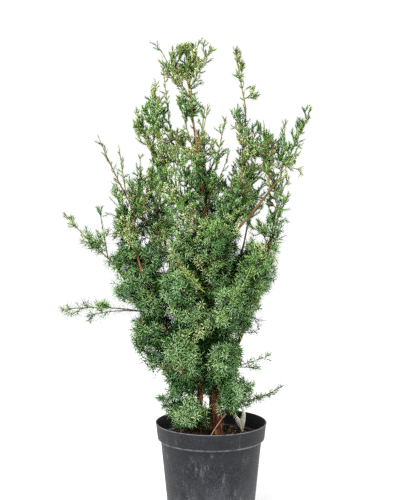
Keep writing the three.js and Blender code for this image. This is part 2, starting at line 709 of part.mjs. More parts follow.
addPiece('pot', potSolid(), MATERIALS.pot);
addPiece('soil', soilSolid(), MATERIALS.soil);
addPiece('label', labelSolid(), MATERIALS.label);
for (const limb of limbs.values()) {
  const whole = solidOf(limbShape(limb));
  addPiece(limb.name, limb.parent ? largestBody(whole.subtract(limb.parent.grown)) : whole, MATERIALS.bark);
}
tufts.forEach((tuft, number) => {
  addPiece(tuft.name, tuftSolid(tuft, tufts, limbs, number), MATERIALS.foliage);
});

export default plant;
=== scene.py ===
"""Looks for a columnar Chinese juniper in a black nursery pot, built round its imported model.

The plant grows here by the rule of its solids: limbs first, then the shoots of each tuft, carried on to side
twigs, twiglets and needles that stay inside the tuft's own reach. Places in the tables are millimetres in the
model's frame, with +Z up, +Y away from the viewer and the origin under the middle of the pot.
"""
import logging
import math
from collections.abc import Callable
from dataclasses import dataclass
from enum import Enum

import bmesh
import bpy
import numpy as np
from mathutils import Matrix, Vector, noise


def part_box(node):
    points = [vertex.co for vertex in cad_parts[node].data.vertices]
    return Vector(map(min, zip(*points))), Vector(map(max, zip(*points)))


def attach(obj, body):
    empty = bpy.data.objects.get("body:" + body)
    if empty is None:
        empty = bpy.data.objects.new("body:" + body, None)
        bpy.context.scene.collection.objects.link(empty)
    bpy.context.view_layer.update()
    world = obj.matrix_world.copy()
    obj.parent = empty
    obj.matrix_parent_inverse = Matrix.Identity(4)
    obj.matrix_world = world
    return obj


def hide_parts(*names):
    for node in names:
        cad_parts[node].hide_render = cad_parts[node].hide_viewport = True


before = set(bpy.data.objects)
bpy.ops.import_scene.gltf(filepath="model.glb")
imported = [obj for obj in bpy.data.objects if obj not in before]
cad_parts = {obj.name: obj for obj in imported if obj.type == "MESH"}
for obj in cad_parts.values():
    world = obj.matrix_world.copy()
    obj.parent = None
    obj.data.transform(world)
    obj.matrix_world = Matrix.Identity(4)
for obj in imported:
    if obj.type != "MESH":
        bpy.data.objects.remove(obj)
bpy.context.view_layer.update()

Array = np.ndarray
Place = tuple[float, float, float]
Colour = tuple[float, float, float]
Pair = tuple[float, float]
Screen = int

MM = 0.001
UP = np.array((0.0, 0.0, 1.0))
TINY = 1e-9
FULL_TURN = 2 * math.pi
BODY = "root"
PIECE_LIMIT = 190_000
JOIN = 1e-6
LABEL_SPOT = (68 * MM, 28 * MM)

log = logging.getLogger("juniper")


def unit(vectors: Array) -> Array:
    """A vector, or rows of vectors, scaled to length 1."""
    return vectors / np.maximum(np.linalg.norm(vectors, axis=-1, keepdims=True), TINY)


def blend(low: float | Array, high: float | Array, share: float | Array) -> float | Array:
    """The value at a share of the way from low to high."""
    return low + (high - low) * share


def ease(value: float | Array, start: float, end: float) -> float | Array:
    """A smooth rise from 0 at start to 1 at end, which may be below start."""
    share = np.clip((value - start) / (end - start), 0.0, 1.0)
    return share * share * (3 - 2 * share)


def from_screen(code: Screen) -> Colour:
    """The linear colour of a screen colour such as 0x6A8A5C."""
    shares = [((code >> shift) & 255) / 255 for shift in (16, 8, 0)]
    return tuple(s / 12.92 if s <= 0.04045 else ((s + 0.055) / 1.055) ** 2.4 for s in shares)


class Wire:
    """One output of a material's node, on which Python's operators add Math nodes."""

    def __init__(self, sheet: "Sheet", socket: bpy.types.NodeSocket) -> None:
        """Holds the socket and the sheet that new nodes go on."""
        self.sheet = sheet
        self.socket = socket

    def _math(self, operation: str, first: "Wire | float", second: "Wire | float") -> "Wire":
        """Adds one Math node and gives its result."""
        return self.sheet.node("ShaderNodeMath", {"operation": operation}, {0: first, 1: second})

    def __add__(self, other: "Wire | float") -> "Wire":
        """self + other."""
        return self._math("ADD", self, other)

    def __radd__(self, other: "Wire | float") -> "Wire":
        """other + self."""
        return self._math("ADD", other, self)

    def __sub__(self, other: "Wire | float") -> "Wire":
        """self - other."""
        return self._math("SUBTRACT", self, other)

    def __rsub__(self, other: "Wire | float") -> "Wire":
        """other - self."""
        return self._math("SUBTRACT", other, self)

    def __mul__(self, other: "Wire | float") -> "Wire":
        """self * other."""
        return self._math("MULTIPLY", self, other)

    def __rmul__(self, other: "Wire | float") -> "Wire":
        """other * self."""
        return self._math("MULTIPLY", other, self)

    def __pow__(self, power: float) -> "Wire":
        """self to a power."""
        return self._math("POWER", self, power)

    def step(self, low: float, high: float) -> "Wire":
        """A smooth mask.

        Args:
            low: The value where the mask is 0.
            high: The value where it is 1, above or below low.

        Returns:
            The mask, from 0 to 1.
        """
        flipped = low > high
        ends = {1: min(low, high), 2: max(low, high), 3: 1.0 if flipped else 0.0, 4: 0.0 if flipped else 1.0}
        settings = {"interpolation_type": "SMOOTHSTEP", "clamp": True}
        return self.sheet.node("ShaderNodeMapRange", settings, {0: self, **ends})


Paint = Wire | Colour | Screen


class Sheet:
    """The node tree of one material, with its Principled shader."""

    MIX_FACTOR, MIX_FIRST, MIX_SECOND, MIX_RESULT = 0, 6, 7, 2

    def __init__(self, name: str, **constants: float) -> None:
        """Starts a material.

        Args:
            name: The material's name.
            constants: Values of the shader's own sockets, named with _ for spaces.
        """
        self.material = bpy.data.materials.new(name)
        self.material.use_nodes = True
        self.tree = self.material.node_tree
        self.shader = self.tree.nodes["Principled BSDF"]
        for socket, value in constants.items():
            self.shader.inputs[socket.replace("_", " ")].default_value = value

    def node(
        self, kind: str, settings: dict | None = None, inputs: dict | None = None, output: int | str = 0
    ) -> Wire:
        """Adds any node.

        Args:
            kind: The node's type.
            settings: Its own settings, with a ramp's stops as place and colour pairs.
            inputs: Values or wires by the socket's name or number.
            output: The socket that is returned.

        Returns:
            The wire from that output.
        """
        made = self.tree.nodes.new(kind)
        for key, value in (settings or {}).items():
            if key == "stops":
                self._set_stops(made.color_ramp, value)
            else:
                setattr(made, key, value)
        for key, value in (inputs or {}).items():
            self.feed(made.inputs[key], value)
        return Wire(self, made.outputs[output])

    @staticmethod
    def _set_stops(ramp: bpy.types.ColorRamp, stops: list[tuple[float, Screen]]) -> None:
        """Gives a colour ramp two stops or more.

        Args:
            ramp: The ramp, with the two stops that it starts with.
            stops: Place and colour pairs.
        """
        while len(ramp.elements) < len(stops):
            ramp.elements.new(1.0)
        for element, (place, colour) in zip(ramp.elements, stops):
            element.position = place
            element.color = (*from_screen(colour), 1.0)

    def feed(self, socket: bpy.types.NodeSocket, value: "Wire | float | tuple | Screen") -> None:
        """Links a wire to a socket, or sets the socket's own value.

        Args:
            socket: The socket.
            value: A wire, a value, or for a colour its linear or its screen colour.
        """
        if isinstance(value, Wire):
            self.tree.links.new(value.socket, socket)
        elif socket.type == "RGBA":
            socket.default_value = (*(from_screen(value) if isinstance(value, Screen) else value), 1.0)
        else:
            socket.default_value = value

    def place(self) -> Wire:
        """The point on the surface in the model's frame."""
        return self.node("ShaderNodeTexCoord", output="Object")

    def grain(self) -> Wire:
        """The point on a limb's skin, with its length along the limb shortened."""
        return self.node("ShaderNodeAttribute", {"attribute_name": "grain"}, output="Vector")

    def part(self, vector: Wire, axis: str) -> Wire:
        """One axis, X, Y or Z, of a vector."""
        return self.node("ShaderNodeSeparateXYZ", inputs={0: vector}, output=axis)

    def stretched(self, vector: Wire, scale: Place) -> Wire:
        """A vector with each axis scaled."""
        return self.node("ShaderNodeMapping", inputs={"Vector": vector, "Scale": scale})

    def speckle(self, vector: Wire, scale: float, detail: float = 4.0, roughness: float = 0.55) -> Wire:
        """Noise about 0.5, by its cells in each metre and how many and how strong its finer layers are."""
        inputs = {"Vector": vector, "Scale": scale, "Detail": detail, "Roughness": roughness}
        return self.node("ShaderNodeTexNoise", inputs=inputs, output="Fac")

    def mix(self, factor: Wire | float, first: Paint, second: Paint) -> Wire:
        """The colour at a share of the way from the first to the second."""
        inputs = {self.MIX_FACTOR: factor, self.MIX_FIRST: first, self.MIX_SECOND: second}
        return self.node("ShaderNodeMix", {"data_type": "RGBA"}, inputs, output=self.MIX_RESULT)

    def ramp(self, factor: Wire, stops: list[tuple[float, Screen]]) -> Wire:
        """The colour of a ramp with these stops, read by the factor."""
        return self.node("ShaderNodeValToRGB", {"stops": stops}, {0: factor})

    def dress(
        self, colour: Wire, roughness: Wire | float, height: Wire | None = None, relief: float = 0.0
    ) -> bpy.types.Material:
        """Feeds the shader.

        Args:
            colour: The base colour.
            roughness: The roughness.
            height: What the bump is read from, or none.
            relief: The bump's height in metres.

        Returns:
            The finished material.
        """
        self.feed(self.shader.inputs["Base Color"], colour)
        self.feed(self.shader.inputs["Roughness"], roughness)
        if height is not None:
            bump = self.node("ShaderNodeBump", inputs={"Height": height, "Distance": relief, "Strength": 1.0})
            self.feed(self.shader.inputs["Normal"], bump)
        return self.material


@dataclass(frozen=True)
class PotPlastic:
    """Dark recycled plastic with chalky scuffs, dust towards the foot, pale worn edges, a painted highlight
    along the rim and painted shade under the collar, over it and inside the rim.
    """

    body: Screen = 0x121419
    # Near black, for the mottle and for the painted shade under the collar, over it and inside the rim.
    deep: Screen = 0x040506
    chalk: Screen = 0x8A8C92
    # Pale colour of worn edges, also painted along the rim as a highlight.
    edge: Screen = 0x8B8E94
    lip_height: float = 0.2
    collar_height: float = 0.167
    lip_radius: float = 0.115
    collar_slope: float = 0.136
    skin_depth: float = 0.0013
    dust_top: float = 0.12
    shadow: Pair = (0.142, 0.164)

    def build(self) -> bpy.types.Material:
        """Makes the material.

        Returns:
            The finished material.
        """
        sheet = Sheet("pot_plastic", Specular_IOR_Level=0.22)
        lip, collar = self.lip_height, self.collar_height
        place = sheet.place()
        height = sheet.part(place, "Z")
        mottle = sheet.speckle(place, 34, 5, 0.65)
        grain = sheet.speckle(place, 900, 2, 0.6)
        streaks = sheet.speckle(sheet.stretched(place, (1.0, 1.0, 0.22)), 90, 4, 0.7)
        patches = sheet.speckle(place, 15, 3, 0.6)
        colour = sheet.mix(mottle.step(0.35, 0.65), self.deep, self.body)
        scuffs = streaks.step(0.52, 0.78) * patches.step(0.42, 0.66)
        flecks = sheet.speckle(place, 420, 2, 0.7).step(0.6, 0.78) * patches.step(0.36, 0.6)
        dust = height.step(self.dust_top, 0.0) * mottle.step(0.3, 0.75) * 0.35
        haze = sheet.speckle(sheet.stretched(place, (1.0, 1.0, 0.5)), 420, 4, 0.75).step(0.44, 0.8)
        level = (sheet.part(place, "X") ** 2 + sheet.part(place, "Y") ** 2) ** 0.5
        skin = self.lip_radius - (lip - height) * self.collar_slope - self.skin_depth
        # The inside of the wall above the collar, which gets no chalk and is painted darker as shade.
        inside = (level - skin).step(0.0, -0.0006) * height.step(collar, collar + 0.004)
        chalk = (scuffs * 0.5 + flecks * 0.7 + dust + haze * 0.1) * (1.0 - inside)
        colour = sheet.mix(chalk * 0.8, colour, self.chalk)
        # Painted shade: darker just under the collar's ledge, a little darker over the whole collar and
        # darker inside the rim.
        under = height.step(*self.shadow) * height.step(collar + 0.001, collar - 0.001)
        collar_shade = height.step(collar + 0.0005, collar + 0.003)
        colour = sheet.mix(under * 0.45 + collar_shade * 0.25 + inside * 0.5, colour, self.deep)
        # Pale edges: along the rim partly wear and partly a painted highlight, along the ledge wear.
        worn = sheet.speckle(place, 60, 3, 0.6).step(0.3, 0.6) * 0.6 + 0.25
        rim = height.step(lip - 0.0022, lip - 0.0006)
        ledge = height.step(collar + 0.003, collar + 0.0012) * height.step(collar - 0.0026, collar - 0.0008)
        colour = sheet.mix((rim * 0.4 + ledge * 0.34) * worn, colour, self.edge)
        roughness = 0.46 + 0.2 * mottle + chalk * 0.2
        return sheet.dress(colour, roughness, grain * 0.6 + streaks * 0.4, 0.00025)


@dataclass(frozen=True)
class PottingMix:
    """Damp peat and composted bark."""

    wet: Screen = 0x140E0A
    dry: Screen = 0x36261A

    def build(self) -> bpy.types.Material:
        """Makes the material.

        Returns:
            The finished material.
        """
        sheet = Sheet("potting_mix", Specular_IOR_Level=0.1)
        place = sheet.place()
        lumps = sheet.speckle(place, 130, 6, 0.7)
        crumbs = sheet.speckle(place, 620, 3, 0.6)
        colour = sheet.mix(lumps.step(0.42, 0.72), self.wet, self.dry)
        return sheet.dress(colour, 0.82 + 0.15 * crumbs, lumps * 0.7 + crumbs * 0.3, 0.0015)


@dataclass(frozen=True)
class Chips:
    """Wood chips, straw and bits of bark on the soil."""

    name: str
    dark: Screen
    light: Screen

    def build(self) -> bpy.types.Material:
        """Makes the material.

        Returns:
            The finished material.
        """
        sheet = Sheet(self.name, Specular_IOR_Level=0.3)
        fibres = sheet.speckle(sheet.stretched(sheet.place(), (1.0, 2.6, 1.6)), 240, 5, 0.65)
        colour = sheet.mix(fibres.step(0.3, 0.7), self.dark, self.light)
        return sheet.dress(colour, 0.85 + 0.1 * fibres, fibres, 0.0004)


@dataclass(frozen=True)
class Bark:
    """Thin reddish bark that peels in long fibrous strips, paler and more orange on young limbs, with dark
    cracks that are partly painted shade.
    """

    name: str
    shade: Screen
    body: Screen
    strip: Screen

    def build(self) -> bpy.types.Material:
        """Makes the material.

        Returns:
            The finished material.
        """
        sheet = Sheet(self.name, Specular_IOR_Level=0.08)
        grain = sheet.grain()
        fibres = sheet.speckle(grain, 520, 5, 0.7)
        strips = sheet.speckle(grain, 170, 3, 0.6)
        patches = sheet.speckle(sheet.place(), 38, 2, 0.5)
        stops = [(0.38, self.shade), (0.5, self.body), (0.6, self.strip)]
        colour = sheet.ramp(strips * 0.6 + fibres * 0.25 + patches * 0.15, stops)
        # Dark cracks between the fibres: partly the bark's own dark fissures, partly painted shade for the
        # ridges.
        cracks_and_shade = fibres.step(0.48, 0.38)
        colour = sheet.mix(cracks_and_shade * 0.7, colour, self.shade)
        return sheet.dress(colour, 0.72 + 0.22 * fibres, strips * 0.6 + fibres * 0.4, 0.0009)


@dataclass(frozen=True)
class TwigBark:
    """Smooth bark of young wood, from green twiglets to tan and brown side twigs."""

    name: str
    first: Screen
    second: Screen

    def build(self) -> bpy.types.Material:
        """Makes the material.

        Returns:
            The finished material.
        """
        sheet = Sheet(self.name, Specular_IOR_Level=0.08)
        place = sheet.place()
        patches = sheet.speckle(place, 70, 3, 0.6)
        scales = sheet.speckle(place, 1400, 2, 0.6)
        colour = sheet.mix(patches.step(0.35, 0.65), self.first, self.second)
        return sheet.dress(colour, 0.6 + 0.25 * scales, scales, 0.0002)


@dataclass(frozen=True)
class NeedleSkin:
    """One side of a needle: a plain colour with faint unevenness, waxy rather than glossy."""

    name: str
    colour: Screen
    waxy: float

    UNEVEN = 0.16
    SHINE = 0.08

    def build(self) -> bpy.types.Material:
        """Makes the material.

        Returns:
            The finished material.
        """
        sheet = Sheet(self.name, Specular_IOR_Level=self.SHINE)
        uneven = sheet.speckle(sheet.place(), 900, 2, 0.5)
        ends = (1 - self.UNEVEN, 1 + self.UNEVEN)
        low, high = (tuple(c * end for c in from_screen(self.colour)) for end in ends)
        return sheet.dress(sheet.mix(uneven, low, high), blend(0.46, 0.7, self.waxy) + 0.1 * uneven)


@dataclass(frozen=True)
class LabelCard:
    """Cream plastic that has yellowed a little and carries splashes of soil near its foot."""

    clean: Screen = 0xEAE6DA
    aged: Screen = 0xD4CAB0
    soil: Screen = 0x6B5A44
    splashed: Pair = (0.192, 0.172)

    def build(self) -> bpy.types.Material:
        """Makes the material.

        Returns:
            The finished material.
        """
        sheet = Sheet("label_card", Specular_IOR_Level=0.5)
        place = sheet.place()
        stains = sheet.speckle(place, 160, 4, 0.6)
        foot = sheet.part(place, "Z").step(*self.splashed) * stains.step(0.4, 0.6)
        colour = sheet.mix(stains.step(0.35, 0.7), self.clean, self.aged)
        return sheet.dress(sheet.mix(foot * 0.8, colour, self.soil), 0.42 + 0.2 * stains, stains, 0.0001)


@dataclass(frozen=True)
class StudioPaper:
    """Pale even paper under and behind the plant."""

    colour: Screen = 0xF8F8F8
    darker: float = 0.97

    def build(self) -> bpy.types.Material:
        """Makes the material.

        Returns:
            The finished material.
        """
        sheet = Sheet("studio_paper", Specular_IOR_Level=0.0, Emission_Strength=0.12)
        mottle = sheet.speckle(sheet.place(), 3.0, 2, 0.5)
        shaded = tuple(c * self.darker for c in from_screen(self.colour))
        return sheet.dress(sheet.mix(mottle.step(0.4, 0.6), shaded, self.colour), 0.8)


class Tint(Enum):
    """Needle colours dealt out by spray, as green, then the bloom on the needle's upper side."""

    # Painted shade: the darkest tint, dealt to twigs deep inside the crown where shade falls.
    SHADE = (0x10290B, 0x1E4214)
    BLUE = (0x1C4216, 0x5E8850)
    MIST = (0x305A28, 0x92B482)
    GREEN = (0x2C5C16, 0x88AE62)
    FRESH = (0x466A1E, 0xC0D494)
    OLIVE = (0x505E1C, 0xCED098)
    DRY = (0x6A5432, 0x9A8460)


@dataclass(frozen=True)
class Deal:
    """How often each tint but the shade's is dealt out at one height of the plant, in the order of Tint."""

    height: float
    shares: tuple[float, float, float, float, float, float]


DEALS = (
    Deal(0.25, (0.42, 0.30, 0.27, 0.01, 0.00, 0.02)),
    Deal(0.38, (0.46, 0.28, 0.23, 0.02, 0.00, 0.01)),
    Deal(0.50, (0.28, 0.24, 0.38, 0.08, 0.00, 0.015)),
    Deal(0.70, (0.06, 0.20, 0.34, 0.30, 0.09, 0.03)),
    Deal(0.95, (0.02, 0.04, 0.25, 0.30, 0.38, 0.02)),
)


@dataclass(frozen=True)
class LimbPlan:
    """One stem from the soil, or one bough that leaves a parent limb at a share of its length.

    Attributes:
        name: The node's name.
        tip: Where it ends.
        bow: How far its middle is pushed out of the straight line.
        radii: Its radius at the root and at the tip.
        foot: Where a stem leaves the soil.
        on: A bough's parent.
        at: The share of the parent's length where the bough leaves.
        leafy: The shares of its length between which it carries twigs of its own.
        spurs: The shares between which short spurs clothe it.
    """

    name: str
    tip: Place
    bow: Place
    radii: Pair
    foot: Pair | None = None
    on: str = ""
    at: float = 0.0
    leafy: Pair = (0.08, 1.0)
    spurs: Pair = (0.9, 1.0)


LIMBS = (
    LimbPlan("main_stem", (-42, 5, 857), (16, -5, 0), (8.5, 1.9), foot=(15, 15), leafy=(0.13, 1.0),
             spurs=(0.42, 1.0)),
    LimbPlan("front_stem", (-39, -15, 642), (18, 0, 0), (7.2, 2.4), foot=(-29, -8), leafy=(0.27, 0.93),
             spurs=(0.3, 0.85)),
    LimbPlan("back_stem", (-10, 95, 690), (0, 25, 0), (6.5, 2.0), foot=(5, 48), spurs=(0.05, 0.45)),
    LimbPlan("left_stem", (-164, -20, 647), (-40, -4, -30), (4.6, 1.8), on="front_stem", at=0.27),
    LimbPlan("left_leader", (-105, -15, 760), (-6, -4, -8), (2.3, 1.6), on="front_stem", at=0.96,
             spurs=(0.75, 1.0)),
    LimbPlan("left_low_bough", (-196, -27, 526), (-6, -4, -12), (2.1, 1.5), on="left_stem", at=0.5),
    LimbPlan("right_stem", (138, 10, 649), (20, 12, -14), (4.8, 1.8), on="main_stem", at=0.14),
    LimbPlan("right_leader", (73, 22, 856), (24, 10, -6), (3.4, 1.6), on="main_stem", at=0.41,
             spurs=(0.3, 1.0)),
    LimbPlan("right_bough", (141, -38, 703), (2, -16, -4), (3.6, 2.0), on="main_stem", at=0.53,
             leafy=(0.05, 0.3)),
    LimbPlan("low_right_bough", (59, -25, 245), (4, -4, -6), (2.2, 1.5), on="main_stem", at=0.05),
    LimbPlan("back_left_bough", (-105, 115, 600), (-18, 10, -24), (3.4, 1.7), on="back_stem", at=0.3),
    LimbPlan("back_right_bough", (88, 122, 640), (16, 10, -20), (3.2, 1.7), on="back_stem", at=0.42),
)


@dataclass(frozen=True)
class TuftPlan:
    """One mass of foliage on a limb.

    Attributes:
        name: The node's name.
        on: The limb it grows from.
        at: The share of the limb's length where it leaves, 1 being the tip.
        reach: How far its sprays stay from its shoots.
        tips: The tips of its shoots. The first leaves the limb, and the others fork from the first.
        bare: The share of the first shoot that carries nothing.
        sag: How far the shoots hang under the straight line.
        clad: Whether the shoots carry needles but hardly a side twig.
        dense: Whether the tuft is a full one.
        slim: How much of its reach it fills.
    """

    name: str
    on: str
    at: float
    reach: float
    tips: tuple[Place, ...]
    bare: float = 0.0
    sag: float = 0.1
    clad: bool = False
    dense: bool = False
    slim: float = 1.0


TUFTS = (
    TuftPlan("top_tuft", "main_stem", 1, 30,
             ((-50, 24, 986), (-106, 4, 974), (-10, -8, 962), (-26, 6, 990)), bare=0.1, dense=True),
    TuftPlan("leader_left_tuft", "main_stem", 0.8, 23, ((-66, 12, 864), (-88, -20, 802)), dense=True),
    TuftPlan("leader_right_tuft", "main_stem", 0.85, 17, ((-6, -8, 852), (-12, 28, 858))),
    TuftPlan("centre_shoots", "main_stem", 0.66, 22, ((27, -5, 816), (33, -26, 742)), bare=0.25),
    TuftPlan("centre_right_tuft", "main_stem", 0.5, 42, ((58, -34, 690),), bare=0.2, dense=True),
    TuftPlan("left_leader_tuft", "left_leader", 1, 26,
             ((-115, -18, 884), (-138, 8, 858)), dense=True, slim=0.95),
    TuftPlan("left_leader_side_tuft", "left_leader", 0.62, 30,
             ((-154, 26, 838), (-136, -22, 776)), dense=True, slim=0.76),
    TuftPlan("slender_shoot", "left_leader", 0.4, 15, ((-102, 12, 956),), bare=0.3, clad=True),
    TuftPlan("left_long_shoots", "left_stem", 1, 18,
             ((-231, -25, 788), (-190, -12, 769)), bare=0.1, clad=True),
    TuftPlan("left_upper_tuft", "left_stem", 0.86, 30, ((-144, 8, 728), (-118, -22, 712)), dense=True),
    TuftPlan("left_outer_tuft", "left_stem", 0.76, 34, ((-192, -28, 664), (-200, 12, 640)), dense=True),
    TuftPlan("left_inner_tuft", "left_stem", 0.6, 42, ((-122, 62, 646),), dense=True),
    TuftPlan("left_low_shoot", "left_low_bough", 1, 18, ((-298, -32, 628), (-224, -44, 630)), sag=0.05),
    TuftPlan("left_arm_shoot", "left_stem", 0.4, 18,
             ((-304, -38, 434), (-246, -46, 424)), bare=0.3, sag=-0.06),
    TuftPlan("left_arm_tuft", "left_stem", 0.42, 36, ((-176, -58, 492),), bare=0.1, dense=True),
    TuftPlan("left_middle_tuft", "left_stem", 0.5, 36, ((-176, 64, 566),), bare=0.15, dense=True),
    TuftPlan("left_lower_tuft", "left_stem", 0.2, 40, ((-152, -42, 412), (-126, 40, 420)), dense=True),
    TuftPlan("left_foot_tuft", "front_stem", 0.2, 32, ((-134, -36, 350), (-92, -50, 276)), dense=True),
    TuftPlan("low_front_tuft", "front_stem", 0.08, 34,
             ((-86, -60, 226), (-56, -84, 232)), bare=0.2, sag=-0.2, dense=True, slim=0.92),
    TuftPlan("front_lower_tuft", "front_stem", 0.24, 42, ((-66, -96, 372),), dense=True),
    TuftPlan("front_middle_tuft", "front_stem", 0.42, 46, ((-74, -92, 518),), dense=True),
    TuftPlan("front_upper_tuft", "front_stem", 0.68, 44, ((-66, -84, 650),), dense=True),
    TuftPlan("front_high_tuft", "front_stem", 1, 38, ((-62, -50, 738), (-96, -62, 700)), dense=True),
    TuftPlan("centre_lower_tuft", "main_stem", 0.16, 40, ((26, -84, 350),), dense=True),
    TuftPlan("centre_middle_tuft", "main_stem", 0.28, 44, ((32, -92, 478),), dense=True),
    TuftPlan("centre_upper_tuft", "main_stem", 0.43, 44, ((2, -86, 604),), dense=True),
    TuftPlan("centre_high_tuft", "main_stem", 0.58, 42, ((-14, 66, 716),), dense=True),
    TuftPlan("right_lower_tuft", "right_stem", 0.18, 28, ((60, -40, 418), (56, -30, 362)), dense=True),
    TuftPlan("right_middle_tuft", "right_stem", 0.44, 34, ((118, 58, 528),), dense=True),
    TuftPlan("right_front_tuft", "right_stem", 0.4, 42, ((86, -62, 536),), dense=True),
    TuftPlan("right_outer_tuft", "right_stem", 0.74, 28, ((146, -12, 654), (96, -14, 618)), dense=True),
    TuftPlan("right_tip_tuft", "right_stem", 1, 30, ((154, 5, 690), (128, 26, 712)), dense=True, slim=0.85),
    TuftPlan("low_right_shoot", "low_right_bough", 1, 15, ((146, -30, 280),), bare=0.1),
    TuftPlan("low_right_tuft", "low_right_bough", 0.5, 32, ((58, -74, 298), (34, -62, 258)), dense=True),
    TuftPlan("right_bough_shoots", "right_bough", 1, 26,
             ((150, -30, 802), (198, -42, 834), (178, -48, 718)), dense=True, slim=0.82),
    TuftPlan("right_mid_tuft", "right_bough", 0.84, 26,
             ((108, -16, 818), (112, -34, 776)), bare=0.25, dense=True, slim=0.85),
    TuftPlan("right_leader_tip", "right_leader", 1, 18, ((51, 22, 981), (88, 18, 886)), clad=True),
    TuftPlan("right_leader_tuft", "right_leader", 0.74, 32,
             ((98, 2, 806), (92, -12, 764), (54, -8, 836)), dense=True, slim=0.78),
    TuftPlan("right_leader_low_tuft", "right_leader", 0.5, 40, ((74, 82, 738),), dense=True),
    TuftPlan("back_tip_tuft", "back_stem", 1, 34, ((-14, 126, 806),), dense=True),
    TuftPlan("back_left_tip_tuft", "back_left_bough", 1, 36, ((-120, 126, 738),), dense=True),
    TuftPlan("back_left_low_tuft", "back_left_bough", 0.45, 48, ((-112, 134, 526),), dense=True),
    TuftPlan("back_right_tip_tuft", "back_right_bough", 1, 36, ((102, 132, 756),), dense=True),
    TuftPlan("back_right_low_tuft", "back_right_bough", 0.4, 46, ((116, 122, 560),), dense=True),
    TuftPlan("back_lower_tuft", "back_stem", 0.22, 50, ((-10, 140, 404),), dense=True),
)


@dataclass(frozen=True)
class Sprig:
    """A long fresh shoot that lies over the front of the crown.

    Attributes:
        root: Where it starts, inside the foliage.
        pull: The point that pulls its middle.
        tip: Where it ends.
    """

    root: Place
    pull: Place
    tip: Place


SPRIGS = (
    Sprig((-13, -96, 473), (-52, -124, 501), (-96, -118, 593)),
    Sprig((55, -84, 473), (68, -96, 500), (82, -92, 534)),
    Sprig((-10, -30, 192), (-16, -44, 215), (-12, -48, 250)),
    Sprig((44, -40, 318), (80, -40, 328), (118, -36, 342)),
    Sprig((58, -40, 318), (78, -38, 320), (98, -36, 314)),
)


@dataclass
class Twigs:
    """Many bowed twigs at once, each a quadratic curve.

    Attributes:
        root: Where each starts, as rows.
        pull: The point that pulls its middle.
        tip: Where it ends.
        radius: Its radius at the root.
        tuft: The number of its tuft.
        bare: The share of it that carries no needles.
    """

    root: Array
    pull: Array
    tip: Array
    radius: Array
    tuft: Array
    bare: Array

    COLUMNS = ("root", "pull", "tip", "radius", "tuft", "bare")

    def __len__(self) -> int:
        """How many twigs there are."""
        return len(self.root)

    @staticmethod
    def joined(sets: list["Twigs"]) -> "Twigs":
        """Several sets as one."""
        return Twigs(*(np.concatenate([getattr(one, name) for one in sets]) for name in Twigs.COLUMNS))

    def picked(self, which: Array) -> "Twigs":
        """The twigs that a mask or a list of numbers picks."""
        return Twigs(*(getattr(self, name)[which] for name in self.COLUMNS))

    def lengths(self) -> Array:
        """The length of each twig, near enough."""
        legs = np.linalg.norm(self.pull - self.root, axis=1) + np.linalg.norm(self.tip - self.pull, axis=1)
        return (legs + np.linalg.norm(self.tip - self.root, axis=1)) / 2

    def point(self, which: Array, share: Array) -> Array:
        """Points on twigs, from the number of each one's twig and how far along it the point is."""
        s = share[:, None]
        return (1 - s) ** 2 * self.root[which] + 2 * s * (1 - s) * self.pull[which] + s * s * self.tip[which]

    def along(self, which: Array, share: Array) -> Array:
        """The directions in which twigs run.

        Args:
            which: The number of the twig.
            share: How far along it.

        Returns:
            Unit rows.
        """
        s = share[:, None]
        root, pull, tip = self.root[which], self.pull[which], self.tip[which]
        return unit((1 - s) * (pull - root) + s * (tip - pull))

    def sides(self, which: Array, along: Array) -> tuple[Array, Array]:
        """Two directions square to each twig that don't turn as it is followed.

        Args:
            which: The number of the twig of each row.
            along: The direction in which it runs there.

        Returns:
            The first and the second, as unit rows.
        """
        chord = unit(self.tip[which] - self.root[which])
        flat = np.abs(chord[:, 2]) < 0.9
        other = np.where(flat[:, None], UP, np.array((1.0, 0.0, 0.0)))
        across = unit(np.cross(chord, other))
        across = unit(across - along * np.sum(across * along, axis=1, keepdims=True))
        return across, np.cross(along, across)

    def around(self, which: Array, share: Array, turn: Array) -> tuple[Array, Array, Array]:
        """Places on twigs with the directions there.

        Args:
            which: The number of the twig.
            share: How far along it each place is.
            turn: The angle round it.

        Returns:
            The points, the unit directions along and the unit directions outwards at that angle.
        """
        along = self.along(which, share)
        across, beside = self.sides(which, along)
        out = across * np.cos(turn)[:, None] + beside * np.sin(turn)[:, None]
        return self.point(which, share), along, out

    def leaving(self, which: Array, share: Array, turn: Array, lean: Array) -> tuple[Array, Array]:
        """Where things leave twigs, and in which direction.

        Args:
            which: The number of the twig.
            share: How far along it they leave.
            turn: The angle round it.
            lean: The angle away from it.

        Returns:
            The points and the unit directions, as rows.
        """
        root, along, out = self.around(which, share, turn)
        return root, unit(along * np.cos(lean)[:, None] + out * np.sin(lean)[:, None])


